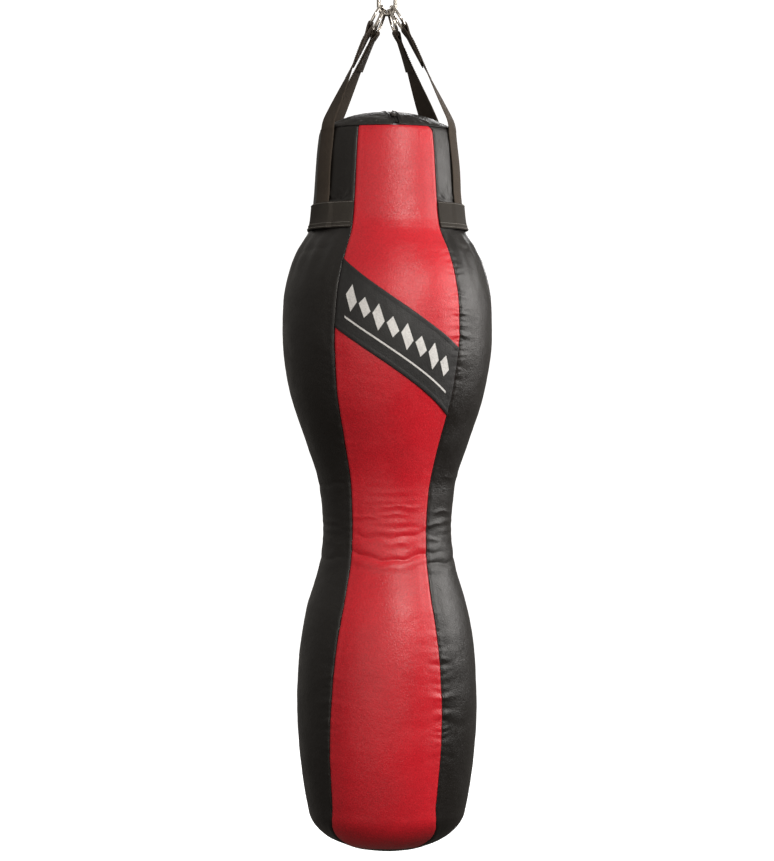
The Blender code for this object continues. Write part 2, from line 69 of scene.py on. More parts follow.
OUTLINE = (
    (0.2290, 0.1315), (0.264, 0.1360), (0.318, 0.1400), (BELT_TOP, 0.1440), (0.426, 0.1525),
    (0.459, 0.1715), (0.498, 0.1885), (0.540, 0.1990), (0.590, 0.2025), (0.645, 0.2020),
    (0.700, 0.1955), (0.752, 0.1840), (0.830, 0.1580), (0.905, 0.1330), (0.955, 0.1265),
    (1.015, 0.1240), (1.060, 0.1280), (1.100, 0.1385), (1.155, 0.1550), (1.220, 0.1670),
    (1.300, 0.1725), (1.376, 0.1725), (1.440, 0.1680), (1.493, 0.1610), (CORNER_DEPTH, 0.1520),
)
RIM_DEPTH, RIM_RADIUS = OUTLINE[0]
HEADING = ((0.191, 8.5), (0.459, 7.9), (0.635, 6.9), (0.947, 3.2), (1.142, 0.9), (1.337, -0.4), (1.560, -3.2))
HALF_FRONT = (
    (0.229, 33.0), (0.459, 34.5), (0.635, 36.7), (1.025, 35.6), (1.142, 34.4), (1.337, 38.4),
    (1.532, 40.6), (1.563, 42.6), (1.595, 48.0),
)
STRAPS = {"front_left": -59.5, "rear_left": -123.5, "rear_right": 136.5, "front_right": 72.5}
PANELS = ("front_panel", "side_panel_right", "back_panel_right", "back_panel_left", "side_panel_left")
BAND_UPPER = (0.484, 0.654)
BAND_LOWER = (0.616, 0.784)
BAND_LONG = 0.25
BAND_TALL = 0.12
ZIP_EDGE = 0.006
TOOTH_PITCH = 0.0017
FLOOR_Z = -1.95

SIM_COLUMNS = 28
SIM_ROWS = 176
SIM_FRAMES = 18
PANEL_COLUMNS = 42
PANEL_ROWS = 860


# ---- Small maths ----
def ease(x):
    x = np.clip(x, 0.0, 1.0)
    return x * x * (3 - 2 * x)


def bump(x, centre, width):
    """A smooth hump of height 1 at the centre."""
    return np.exp(-((x - centre) / width) ** 2)


def read(table, x):
    places, values = np.array(table).T
    return np.interp(x, places, values)


def unit(v):
    return v / np.linalg.norm(v, axis=-1, keepdims=True)


def circle(count):
    """Evenly spaced directions of one turn, in radians."""
    return np.linspace(0, 2 * math.pi, count, endpoint=False)


def hermite(t):
    """Cubic weights of the first value, its slope, the second value and its slope."""
    return 2 * t**3 - 3 * t**2 + 1, t**3 - 2 * t**2 + t, -2 * t**3 + 3 * t**2, t**3 - t**2


def below_neck(depth):
    """0 on the head, 1 on the body, easing over from the belt to the shoulder."""
    return ease((depth - 0.40) / 0.06)


def smooth_outline():
    """The profile as a dense line of (depth, radius): cubic through the stations, then the elliptic base."""
    depth, radius = np.array(OUTLINE).T
    slope = np.gradient(radius, depth)
    slope[0] = 0.10
    slope[-1] = -0.20
    fine = []
    for i in range(len(depth) - 1):
        gap = depth[i + 1] - depth[i]
        t = np.linspace(0, 1, 12, endpoint=False)
        h = hermite(t)
        value = h[0] * radius[i] + h[1] * gap * slope[i] + h[2] * radius[i + 1] + h[3] * gap * slope[i + 1]
        fine.append(np.stack([depth[i] + t * gap, value], 1))
    turn = np.linspace(0, math.pi / 2, 60)
    drop = BASE_DEPTH - CORNER_DEPTH
    fine.append(np.stack([CORNER_DEPTH + drop * np.sin(turn), radius[-1] * np.cos(turn)], 1))
    line = np.concatenate(fine)
    for _ in range(6):
        line[1:-1] = (line[:-2] + 2 * line[1:-1] + line[2:]) / 4
    return line


LINE = smooth_outline()
ARC = np.concatenate([[0], np.cumsum(np.hypot(*np.diff(LINE, axis=0).T))])
WALL_END = float(ARC[np.argmin(np.where(LINE[:, 0] > CORNER_DEPTH, abs(LINE[:, 1] - BASE_RADIUS), 9))])


def profile(s):
    """Depth, radius and outward normal (in depth and radius) at a length along the profile."""
    depth = np.interp(s, ARC, LINE[:, 0])
    radius = np.interp(s, ARC, LINE[:, 1])
    step = 0.004
    dd = np.interp(s + step, ARC, LINE[:, 0]) - np.interp(s - step, ARC, LINE[:, 0])
    dr = np.interp(s + step, ARC, LINE[:, 1]) - np.interp(s - step, ARC, LINE[:, 1])
    size = np.hypot(dd, dr)
    return depth, radius, -dr / size, dd / size


def length_at(depth):
    """Length along the profile at a depth."""
    return np.interp(depth, LINE[:, 0], ARC)


def seam_angle(index, depth):
    """Direction of a seam: 0 and 1 bound the front panel, 5 is seam 0 again, one turn on."""
    middle, half = read(HEADING, depth), read(HALF_FRONT, depth)
    if index == 0:
        return middle - half
    corner = 3.6 * np.clip(1 - (depth - RIM_DEPTH) / 0.012, 0, 1) ** 2 if index == 1 else 0
    return middle + half - corner + (360 - 2 * half) / 4 * (index - 1)


def waves(shape, scale, seed, octaves=2):
    """Smooth seeded noise in -1..1 for points (N x 3), made of random plane waves."""
    rng = np.random.default_rng(seed)
    total = np.zeros(shape.shape[:-1])
    for octave in range(octaves):
        part = np.zeros_like(total)
        for _ in range(9):
            way = rng.normal(size=3)
            way /= np.linalg.norm(way)
            part += np.sin(shape @ way * (2 * math.pi / scale) * 2**octave * rng.uniform(0.6, 1.4)
                           + rng.uniform(0, 6.28))
        total += part / 4.5 / 2**octave
    return total / 1.5


def around(angle, radius, depth):
    turn, radius, depth = np.broadcast_arrays(np.radians(angle), radius, depth)
    return np.stack([radius * np.sin(turn), -radius * np.cos(turn), BOW_Z - depth], -1)


def grid_normals(points, wrap=False):
    """Unit normals of a grid of points (rows down, columns to +angle), facing away from the body."""
    down = np.gradient(points, axis=0)
    if wrap:
        wide = np.concatenate([points[:, -2:-1], points, points[:, 1:2]], 1)
        across = (wide[:, 2:] - wide[:, :-2]) / 2
    else:
        across = np.gradient(points, axis=1)
    normal = np.cross(down, across)
    return normal / np.maximum(np.linalg.norm(normal, axis=-1, keepdims=True), 1e-12)


# ---- Meshes ----
def new_mesh(name, points, faces, uv=None, look=None, smooth=True):
    """An object from arrays of points and quads (or polygons), with an optional UV pair for each point."""
    mesh = bpy.data.meshes.new(name)
    faces = faces.tolist() if hasattr(faces, "tolist") else faces
    mesh.from_pydata(points.reshape(-1, 3).tolist(), [], faces)
    if uv is not None:
        layer = mesh.uv_layers.new(name="lay")
        corner = np.empty(len(mesh.loops), np.int32)
        mesh.loops.foreach_get("vertex_index", corner)
        layer.data.foreach_set("uv", np.asarray(uv, np.float32).reshape(-1, 2)[corner].ravel())
    if smooth:
        mesh.shade_smooth()
    obj = bpy.data.objects.new(name, mesh)
    bpy.context.scene.collection.objects.link(obj)
    if look:
        mesh.materials.append(look)
    return obj


def grid_faces(rows, columns, wrap=False):
    """Quads of a grid of rows x columns points; a wrapped grid joins its last column to its first."""
    index = np.arange(rows * columns).reshape(rows, columns)
    if wrap:
        index = np.concatenate([index, index[:, :1]], 1)
    a, b, c, d = index[:-1, :-1], index[1:, :-1], index[1:, 1:], index[:-1, 1:]
    return np.stack([a, b, c, d], -1).reshape(-1, 4)


def slab(name, upper, lower, look, uv=None, wrap=False):
    """A closed thin solid between two grids of the same shape."""
    rows, columns = upper.shape[:2]
    count = rows * columns
    top = grid_faces(rows, columns, wrap)
    faces = [top, top[:, ::-1] + count]
    index = np.arange(count).reshape(rows, columns)

    def wall(line):
        a, b = line[:-1], line[1:]
        return np.stack([a, b, b + count, a + count], -1)

    if not wrap:
        faces += [wall(index[::-1, 0]), wall(index[:, -1])]
        faces += [wall(index[0]), wall(index[-1, ::-1])]
    else:
        first = np.append(index[0], index[0, 0])
        last = np.append(index[-1], index[-1, 0])
        faces += [wall(first), wall(last[::-1])]
    points = np.concatenate([upper.reshape(-1, 3), lower.reshape(-1, 3)])
    if uv is not None:
        uv = np.concatenate([uv.reshape(-1, 2)] * 2)
    return new_mesh(name, points, np.concatenate(faces), uv, look)


def lengths(points, axis):
    """Running length of a grid along one axis, averaged over the other."""
    step = np.linalg.norm(np.diff(points, axis=axis), axis=-1).mean(axis=1 - axis)
    return np.concatenate([[0], np.cumsum(step)])


def ribbon(name, middle, normal, thick, look, edge=0.35):
    """Webbing: a slab about its middle surface, thinner at its two woven edges, with lengths as UV."""
    columns = middle.shape[1]
    share = np.abs(np.linspace(-1, 1, columns))
    half = thick / 2 * (edge + (1 - edge) * np.sqrt(1 - share**10))
    lift = normal * half[None, :, None]
    uv = np.stack(np.meshgrid(lengths(middle, 1), lengths(middle, 0)), -1)
    return slab(name, middle + lift, middle - lift, look, uv)


def tube(name, path, radius, look, sides=8, closed=False):
    """A round tube along a path, of one radius or one at each point, with flat caps unless closed."""
    path = np.asarray(path, float)
    if closed:
        way = np.roll(path, -1, 0) - np.roll(path, 1, 0)
    else:
        way = np.gradient(path, axis=0)
    way = unit(way)
    side = np.cross(way[0], (0.31, 0.17, 0.93))
    rings = []
    for point, ahead, size in zip(path, way, np.broadcast_to(radius, len(path))):
        side = side - ahead * side.dot(ahead)
        side /= np.linalg.norm(side)
        other = np.cross(ahead, side)
        turn = circle(sides)
        rings.append(point + size * (np.cos(turn)[:, None] * side + np.sin(turn)[:, None] * other))
    rings = np.array(rings)
    faces = grid_faces(len(path), sides, wrap=True)[:, ::-1]
    if closed:
        last = (len(path) - 1) * sides + np.arange(sides)
        first = np.arange(sides)
        joint = np.stack([last, np.roll(last, -1), np.roll(first, -1), first], -1)
        faces = np.concatenate([faces, joint]).tolist()
    else:
        faces = faces.tolist() + [list(range(sides)), list(range(len(path) * sides))[:-sides - 1:-1]]
    return new_mesh(name, rings, faces, None, look)


def stitch_row(path, normal, pitch=0.0046, thread=0.00042, fill=0.68):
    """Points and faces of a row of stitches: short humped dashes of thread along a path on a surface."""
    path, normal = np.asarray(path, float), np.asarray(normal, float)
    run = np.concatenate([[0], np.cumsum(np.linalg.norm(np.diff(path, axis=0), axis=1))])
    count = max(int(run[-1] / pitch), 1)
    share = np.linspace(-0.5, 0.5, 5)
    points, faces = [], []
    for k in range(count):
        at = (k + 0.5) * pitch + share * pitch * fill
        mid = np.stack([np.interp(at, run, path[:, c]) for c in range(3)], -1)
        up = np.stack([np.interp(at, run, normal[:, c]) for c in range(3)], -1)
        up = unit(up)
        side = np.cross(unit(np.gradient(mid, axis=0)), up)
        hump = (0.9 - 7.0 * share**4 - 1.2 * share**2)[:, None] * thread
        base = len(points) * 5 * 6
        turn = circle(6)
        size = thread * (1 - 1.6 * share**2)[:, None, None]
        ring = (mid + up * hump)[:, None] + size * (np.cos(turn)[None, :, None] * side[:, None]
                                                   + np.sin(turn)[None, :, None] * up[:, None])
        points.append(ring)
        body = grid_faces(5, 6, wrap=True) + base
        faces += body.tolist() + [list(range(base + 5, base - 1, -1)), list(range(base + 24, base + 30))]
    return np.array(points).reshape(-1, 3), faces


def stitching(name, rows, look, **kind):
    """One object holding several rows of stitches, each given as (path, normals)."""
    points, faces = [], []
    for path, normal in rows:
        some, quads = stitch_row(path, normal, **kind)
        offset = sum(len(part) for part in points)
        points.append(some)
        faces += [[i + offset for i in face] for face in quads]
    return new_mesh(name, np.concatenate(points), faces, None, look)


# ---- Materials ----
# Object coordinates are metres, and webbing uses its UV, which is metres too.
class Look:
    """A material with short calls for the nodes it needs."""

    def __init__(self, name, **sockets):
        self.made = bpy.data.materials.new(name)
        self.made.use_nodes = True
        self.tree = self.made.node_tree
        self.shader = self.tree.nodes["Principled BSDF"]
        for socket, value in sockets.items():
            self.shader.inputs[socket.replace("_", " ")].default_value = value
        self.place = self.node("ShaderNodeTexCoord").outputs["Object"]

    def node(self, kind, **settings):
        made = self.tree.nodes.new(kind)
        for key, value in settings.items():
            setattr(made, key, value)
        return made

    def feed(self, socket, value):
        if isinstance(value, bpy.types.NodeSocket):
            self.tree.links.new(value, socket)
        else:
            socket.default_value = value

    def noise(self, scale, detail=3.0, roughness=0.55, where=None):
        made = self.node("ShaderNodeTexNoise")
        self.feed(made.inputs["Vector"], where or self.place)
        made.inputs["Scale"].default_value = scale
        made.inputs["Detail"].default_value = detail
        made.inputs["Roughness"].default_value = roughness
        return made.outputs["Fac"]

    def cells(self, scale, where=None):
        made = self.node("ShaderNodeTexVoronoi")
        self.feed(made.inputs["Vector"], where or self.place)
        made.inputs["Scale"].default_value = scale
        return made.outputs["Distance"]

    def sum(self, operation, a, b=0.0, c=0.0):
        made = self.node("ShaderNodeMath", operation=operation)
        for socket, value in zip(made.inputs, (a, b, c)):
            self.feed(socket, value)
        return made.outputs[0]

    def spread(self, value, low, high, start=0.3, end=0.7):
        made = self.node("ShaderNodeMapRange")
        self.feed(made.inputs["Value"], value)
        for name, number in (("From Min", start), ("From Max", end), ("To Min", low), ("To Max", high)):
            made.inputs[name].default_value = number
        return made.outputs["Result"]

    def colours(self, value, stops):
        made = self.node("ShaderNodeValToRGB")
        self.feed(made.inputs["Fac"], value)
        ramp = made.color_ramp
        while len(ramp.elements) < len(stops):
            ramp.elements.new(0.5)
        for element, (place, colour) in zip(ramp.elements, stops):
            element.position = place
            element.color = (*colour, 1.0)
        self.tree.links.new(made.outputs["Color"], self.shader.inputs["Base Color"])

    def bump(self, height, distance, strength=1.0, under=None):
        made = self.node("ShaderNodeBump")
        made.inputs["Distance"].default_value = distance
        made.inputs["Strength"].default_value = strength
        self.feed(made.inputs["Height"], height)
        if under:
            self.feed(made.inputs["Normal"], under)
        self.tree.links.new(made.outputs["Normal"], self.shader.inputs["Normal"])
        return made.outputs["Normal"]

    def rough(self, value):
        self.tree.links.new(value, self.shader.inputs["Roughness"])


def tint(colour, share):
    return tuple(channel * share for channel in colour)


def vinyl(name, colour, low, high, grain=0.00022):
    """Coated fabric: pebbled grain, soft dents under it, and a patchy sheen."""
    look = Look(name, Specular_IOR_Level=0.5)
    patches = look.noise(7.0, 4.0)
    fleck = look.sum("MULTIPLY_ADD", patches, 0.45, look.sum("MULTIPLY", look.noise(300.0, 2.0), 0.55))
    look.colours(fleck, ((0.3, tint(colour, 0.74)), (0.5, colour), (0.70, tint(colour, 1.22))))
    look.rough(look.spread(look.noise(23.0, 5.0), low, high))
    dents = look.bump(look.noise(110.0, 4.0), 0.0007, 0.6)
    coarse = look.bump(look.noise(330.0, 3.0), 0.0007, 0.7, dents)
    pebbles = look.sum("MULTIPLY_ADD", look.noise(1500.0, 2.0), 0.5, look.cells(820.0))
    look.bump(pebbles, grain, 0.75, coarse)
    return look.made


def webbing(name, colour):
    """Heavy woven tape: raised ribs across it, split by the lengthwise yarns, and fuzz."""
    look = Look(name, Roughness=0.8, Specular_IOR_Level=0.35)
    split = look.node("ShaderNodeSeparateXYZ")
    look.feed(split.inputs[0], look.node("ShaderNodeUVMap", uv_map="lay").outputs["UV"])
    across, along = split.outputs["X"], split.outputs["Y"]
    warp = look.sum("SINE", look.sum("MULTIPLY", across, 2 * math.pi / 0.0026))
    shifted = look.sum("MULTIPLY_ADD", warp, 0.8, look.sum("MULTIPLY", along, 2 * math.pi / 0.0021))
    rib = look.sum("ABSOLUTE", look.sum("SINE", shifted))
    yarn = look.sum("ABSOLUTE", warp)
    weave = look.sum("MULTIPLY_ADD", rib, 0.65, look.sum("MULTIPLY", yarn, 0.35))
    fuzz = look.noise(1100.0, 3.0)
    # Colour: a real random tone from the coarse noise, plus painted shade in the hollows of the weave and a
    # painted highlight on the rib tops, both following the weave height.
    look.colours(look.sum("MULTIPLY_ADD", look.noise(30.0, 4.0), 0.35, look.sum("MULTIPLY", weave, 0.65)),
                 ((0.15, tint(colour, 0.45)), (0.55, colour), (0.9, tint(colour, 1.45))))
    look.bump(look.sum("MULTIPLY_ADD", fuzz, 0.3, weave), 0.0004, 0.9)
    return look.made


def metal(name, colour, low, high, grain, mottle):
    look = Look(name, Metallic=1.0)
    look.colours(look.noise(mottle, 4.0), ((0.35, tint(colour, 0.88)), (0.65, colour)))
    look.rough(look.spread(look.noise(mottle * 2.3, 5.0), low, high))
    look.bump(look.noise(grain, 4.0), 0.00006, 0.6)
    return look.made


def cloth(name, colour, coarse):
    look = Look(name, Roughness=0.9)
    stops = ((0.3, tint(colour, 0.6)), (0.5, colour), (0.75, tint(colour, 1.3)))
    look.colours(look.noise(coarse, 5.0), stops)
    look.bump(look.sum("ADD", look.noise(coarse * 6, 4.0), look.cells(700.0)), 0.0006, 0.8)
    return look.made


RED = vinyl("red_vinyl", (0.56, 0.0105, 0.021), 0.29, 0.44)
BLACK = vinyl("black_vinyl", (0.0082, 0.0066, 0.0056), 0.30, 0.44)
CROWN = vinyl("crown_vinyl", (0.012, 0.0105, 0.0095), 0.42, 0.56)
BAND = vinyl("band_vinyl", (0.0115, 0.0110, 0.0112), 0.50, 0.64, 0.00014)
PRINT = vinyl("band_print", (0.66, 0.65, 0.64), 0.45, 0.60, 0.00010)
TAPE = webbing("webbing", (0.058, 0.044, 0.033))
BELT = webbing("belt_webbing", (0.034, 0.029, 0.024))
THREAD = cloth("thread", (0.016, 0.014, 0.013), 900.0)
PALE_THREAD = cloth("pale_thread", (0.24, 0.225, 0.205), 900.0)
CHROME = metal("chrome", (0.74, 0.69, 0.63), 0.09, 0.18, 320.0, 60.0)
ZINC = metal("zinc", (0.45, 0.42, 0.38), 0.30, 0.46, 900.0, 260.0)
SPRING = metal("spring_wire", (0.50, 0.50, 0.50), 0.25, 0.35, 900.0, 260.0)
ZIP_METAL = metal("zip_metal", (0.16, 0.15, 0.14), 0.30, 0.44, 1400.0, 300.0)
ZIP_TAPE = webbing("zip_tape", (0.020, 0.019, 0.018))
LINER = cloth("liner_cloth", (0.60, 0.58, 0.54), 40.0)
FILL = cloth("textile_fill", (0.35, 0.34, 0.36), 25.0)


def piece(obj, body, slot, *nodes, padded=None):
    """Puts a piece on its body and hides the CAD nodes it stands in for; its slot and padding are not used."""
    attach(obj, body)
    if nodes:
        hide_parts(*nodes)


def bag_piece(obj, slot, *nodes, padded=None):
    piece(obj, "bag", slot, *nodes, padded=padded)


# ---- The cover, simulated as one sewn tube over a smooth core of the body ----
TOP = float(length_at(RIM_DEPTH))


def sim_shares():
    """The seam fractions of the simulated tube's columns: whole numbers are seams."""
    return np.arange(5 * SIM_COLUMNS) / SIM_COLUMNS


def angle_at(place, depth):
    """The direction of a place between seams, such as 1.5 for the middle of the second panel."""
    whole = np.floor(place).astype(int)
    share = place - whole
    edges = np.stack([seam_angle(k, depth) for k in range(6)], 0)
    low = np.take_along_axis(edges, np.broadcast_to(whole, (1, *depth.shape)), 0)[0]
    high = np.take_along_axis(edges, np.broadcast_to(np.minimum(whole + 1, 5), (1, *depth.shape)), 0)[0]
    return low + (high - low) * share


def body_points(places, run, lift=0.0):
    """Points on the body for seam fractions and lengths down the profile."""
    depth, radius, out_depth, out_radius = profile(run)
    angle = angle_at(places, depth)
    return around(angle, radius + out_radius * lift, depth + out_depth * lift)


def settled_cover():
    """Offsets of the cover from the smooth body, from a cloth simulation of the stuffed, sewn tube."""
    runs = np.linspace(TOP, WALL_END, SIM_ROWS)
    places, run = np.meshgrid(sim_shares(), runs)
    base = body_points(places, run)
    depth = profile(run)[0]
    cover = new_mesh("cover_sim", base, grid_faces(*base.shape[:2], wrap=True))
    core = new_mesh("core_sim", body_points(places, run, -0.004), grid_faces(*base.shape[:2], wrap=True))
    nearest = np.abs((places + 0.5) % 1 - 0.5) * SIM_COLUMNS
    belted = (depth > BELT_TOP) & (depth < BELT_TOP + WEBBING) & (places > 0.99)
    fixed = np.where(nearest < 0.5, 1.0, 0.0)
    fixed[[0, 1, -2, -1]] = 1.0
    fixed[belted] = 1.0
    slack = (0.25 + 0.75 * bump(depth, 1.01, 0.10) + 0.45 * bump(depth, 0.60, 0.12)
             + 0.45 * bump(depth, 1.33, 0.12))
    slack = np.clip(slack + 0.25 * waves(base, 0.22, 5), 0, 1)
    for name, weights in (("fixed", fixed), ("slack", slack)):
        group = cover.vertex_groups.new(name=name)
        flat = np.round(weights.ravel(), 2)
        for value in np.unique(flat[flat > 0]):
            group.add(np.nonzero(flat == value)[0].tolist(), float(value), "REPLACE")
    core.modifiers.new("hit", "COLLISION")
    core.collision.thickness_outer = 0.001
    sim = cover.modifiers.new("cloth", "CLOTH")
    rule = sim.settings
    rule.quality = 5
    rule.mass = 0.05
    rule.vertex_group_mass = "fixed"
    rule.vertex_group_shrink = "slack"
    rule.shrink_min = 0.0
    rule.shrink_max = -0.045
    rule.tension_stiffness = rule.compression_stiffness = 40
    rule.shear_stiffness = 8
    rule.bending_stiffness = 0.5
    rule.use_pressure = True
    rule.uniform_pressure_force = 700
    rule.effector_weights.gravity = 0.0
    sim.collision_settings.distance_min = 0.001
    sim.collision_settings.use_self_collision = False
    sim.point_cache.frame_start = 1
    sim.point_cache.frame_end = SIM_FRAMES
    for frame_number in range(1, SIM_FRAMES + 1):
        bpy.context.scene.frame_set(frame_number)
    flat = np.empty(base.size, np.float32)
    cover.evaluated_get(bpy.context.evaluated_depsgraph_get()).data.vertices.foreach_get("co", flat)
    offset = flat.reshape(base.shape).astype(float) - base
    for obj in (cover, core):
        bpy.data.objects.remove(obj)
    bpy.context.scene.frame_set(1)
    out = grid_normals(base, wrap=True)
    lift = (offset * out).sum(-1, keepdims=True)
    along = offset - out * lift
    size = np.linalg.norm(along, axis=-1, keepdims=True)
    along *= np.minimum(1, 0.003 / np.maximum(size, 1e-9))
    lift = lift - 0.7 * lift.mean(1, keepdims=True)
    firm = (0.12 + 0.88 * below_neck(depth))[..., None]
    return (out * np.clip(lift, -0.0025, 0.0075) + along) * firm, runs


def resample(grid, rows, columns):
    """Cubic reading of a grid at fractional rows and columns; its last column is followed by its first."""
    def weights(at, count, wrap):
        low = np.floor(at).astype(int)
        t = at - low
        picks = low[:, None] + np.arange(-1, 3)
        picks = picks % count if wrap else np.clip(picks, 0, count - 1)
        share = np.stack([(-t + 2 * t**2 - t**3) / 2, (2 - 5 * t**2 + 3 * t**3) / 2,
                          (t + 4 * t**2 - 3 * t**3) / 2, (t**3 - t**2) / 2], 1)
        return picks, share

    picks, share = weights(rows, grid.shape[0], False)
    part = (grid[picks] * share[:, :, None, None]).sum(1)
    picks, share = weights(columns, grid.shape[1], True)
    return (part[:, picks] * share[None, :, :, None]).sum(2)


def seam_folds(seam):
    """Puckers along a seam: depth, height, half width, slant and reach of each."""
    rng = np.random.default_rng(40 + seam % 5)
    strong = {0: ((0.86, 0.07, 0.5), (1.32, 0.11, 0.8), (0.62, 0.10, 0.4)),
              1: ((0.60, 0.105, 2.9), (1.33, 0.12, 2.3), (1.03, 0.05, 1.0))}
    fine = {1: (0.60, 0.10)}.get(seam % 5, (0.60, 0.08))
    places, folds = strong.get(seam % 5, ((0.58, 0.10, 1.2), (1.32, 0.14, 1.3), (1.0, 0.06, 1.0))), []
    depth = 0.245
    while depth < 1.60:
        force = 0.28 + sum(size * math.exp(-((depth - at) / wide) ** 2) for at, wide, size in places)
        close = math.exp(-((depth - fine[0]) / fine[1]) ** 2)
        height = force * rng.uniform(0.35, 1.0) * 0.0011 * rng.choice((-1.0, -1.0, 1.0)) * (1 - 0.35 * close)
        half, slant = rng.uniform(0.0030, 0.0050) * (1 - 0.42 * close), rng.uniform(-0.30, 0.30)
        reach = rng.uniform(0.008, 0.020) * (0.8 + 0.4 * force) * (1 - 0.35 * close)
        folds.append((depth, height, half, slant, reach))
        depth += rng.uniform(0.009, 0.019) * (1 - 0.50 * close)
    return folds


# Creases of each panel: depth at its left and right seam, sag in the middle, half width, height, and the
# shares where it starts and ends. A height below 0 makes a ridge.
CREASES = {
    0: (
        (0.957, 0.958, -0.002, 0.0036, -0.0015, 0.4, 0.86),
        (0.97, 0.97, 0.001, 0.003, -0.0013, 0.36, 0.68), (0.973, 0.986, 0.0, 0.0032, -0.0014, 0.03, 0.36),
        (1.011, 1.004, 0.009, 0.0046, 0.002, 0.05, 1.0),
        (1.025, 1.026, 0.001, 0.0046, -0.0014, 0.45, 0.72),
        (1.04, 1.044, 0.017, 0.0042, 0.0034, 0.02, 0.99), (1.0, 0.992, 0.003, 0.004, 0.0009, 0.45, 0.95),
        (1.056, 1.052, 0.02, 0.0046, -0.001, 0.1, 0.6), (0.476, 0.5, -0.01, 0.009, 0.0008, 0.1, 0.3),
    ),
    1: (
        (0.903, 0.893, 0.002, 0.0044, -0.0011, 0.2, 0.7), (0.966, 0.962, 0.002, 0.0034, -0.0012, 0.1, 0.4),
        (0.99, 0.986, 0.003, 0.0034, -0.0013, 0.0, 0.24), (1.02, 1.018, 0.002, 0.0034, -0.0011, 0.0, 0.2),
        (1.044, 1.04, 0.004, 0.0036, 0.0014, 0.0, 0.36), (1.064, 1.044, 0.01, 0.0046, 0.0026, 0.0, 0.8),
        (0.452, 0.47, 0.006, 0.0055, 0.001, 0.1, 0.7),
    ),
    2: (
        (0.955, 0.975, 0.006, 0.0042, 0.0016, 0.05, 0.9), (1.04, 1.052, 0.01, 0.0044, 0.0024, 0.05, 1.0),
        (1.01, 1.004, 0.002, 0.0036, -0.0014, 0.2, 0.8),
    ),
    3: (
        (0.97, 0.95, 0.006, 0.0042, 0.0016, 0.1, 1.0), (1.052, 1.042, 0.01, 0.0044, 0.0024, 0.0, 0.9),
        (1.004, 1.012, 0.002, 0.0036, -0.0014, 0.2, 0.8),
    ),
    4: (
        (0.918, 0.908, 0.004, 0.0046, 0.001, 0.2, 0.9), (1.052, 1.05, 0.008, 0.0046, 0.0014, 0.05, 0.9),
        (1.02, 1.028, 0.003, 0.004, -0.0009, 0.4, 0.9), (0.47, 0.452, 0.006, 0.0055, 0.001, 0.3, 0.9),
    ),
}
# Folds fanning out where the straps pass under the belt: panel, share, depth, spread and length
FANS = ((1, 0.20, 0.380, 0.26, 0.045), (4, 0.78, 0.380, 0.22, 0.045), (2, 0.60, 0.380, 0.22, 0.045),
        (3, 0.45, 0.380, 0.22, 0.045))


def relief(panel, share, depth, width, points):
    """Height of a panel's sewn and creased detail above the settled cover."""
    near = np.minimum(share, 1 - share) * width
    height = -0.0015 * np.exp(-(near / 0.0013) ** 1.4) + 0.0005 * bump(near, 0.0060, 0.0045)
    for seam, away in ((panel, share * width), (panel + 1, (1 - share) * width)):
        hold = 1 - np.exp(-away / 0.0018)
        for at, size, half, slant, reach in seam_folds(seam):
            rows = np.abs(depth[:, 0] - at) < 4 * half + 0.02
            there, gone = depth[rows], away[rows]
            height[rows] += (size * hold[rows] * np.exp(-gone / reach)
                             * np.exp(-((there - at - slant * gone) / (half * (1 + gone / 0.03))) ** 2))
    for left, right, sag, half, size, start, end in CREASES[panel]:
        line = left + (right - left) * share + sag * np.sin(np.pi * share)
        line = line + 0.0018 * np.sin(share * 21 + left * 90)
        ends = ease((share - start) / 0.18 + 0.5) * ease((end - share) / 0.18 + 0.5)
        gap = depth - line
        lips = 0.55 * bump(gap, 2.6 * half, 2.2 * half)
        height += 0.72 * ends * size * (-np.exp(-np.abs(gap / half) ** 1.3) + lips
                                        + 0.45 * bump(gap, -2.8 * half, 2.4 * half))
    for which, share_at, depth_at, wide, long in FANS:
        if which != panel:
            continue
        aside, below = (share - share_at) / wide, (depth - depth_at) / long
        turn = np.arctan2(aside, below)
        fade = bump(np.hypot(aside, below), 0.50, 0.30)
        height += 0.0017 * fade * np.cos(turn * 13.0)
    if panel:
        turn = 2 * np.pi * (5.5 * share + 0.3 * panel) + 6 * (depth - 0.45)
        height += 0.0016 * np.cos(turn) * bump(depth, 0.468, 0.040)
    loose = 0.35 + 0.65 * below_neck(depth)
    height += loose * (0.0008 * waves(points, 0.11, 60 + panel) + 0.00025 * waves(points, 0.024, 80 + panel))
    rim = (depth - RIM_DEPTH) / 0.004
    return height - 0.0016 * np.exp(-np.clip(rim, 0, None) ** 1.4)


def build_cover():
    """The five gores, from the settled cover and its relief: each outer grid, its lengths and shares."""
    offset, sim_runs = settled_cover()
    runs = np.linspace(TOP, WALL_END, PANEL_ROWS)
    even = np.linspace(0, 1, PANEL_COLUMNS)
    shares = even - 0.11 * np.sin(2 * np.pi * even)
    row_at = np.interp(runs, sim_runs, np.arange(len(sim_runs)))
    made = {}
    for index, name in enumerate(PANELS):
        places, run = np.meshgrid(index + shares * 0.99999, runs)
        base = body_points(places, run)
        points = base + resample(offset, row_at, (index + shares) * SIM_COLUMNS)
        depth = profile(run)[0]
        width = np.linalg.norm(np.diff(points, axis=1), axis=-1).sum(1)[:, None]
        out = grid_normals(points)
        share = np.broadcast_to(shares, depth.shape)
        upper = points + out * relief(index, share, depth, width, base)[..., None]
        lower = upper - grid_normals(upper) * VINYL
        uv = np.stack([share * width, run], -1)
        obj = slab(name, upper, lower, RED if index == 0 else BLACK, uv)
        bag_piece(obj, "red_vinyl" if index == 0 else "black_vinyl", name, padded=0.85)
        made[name] = (upper, runs, shares)
    return made


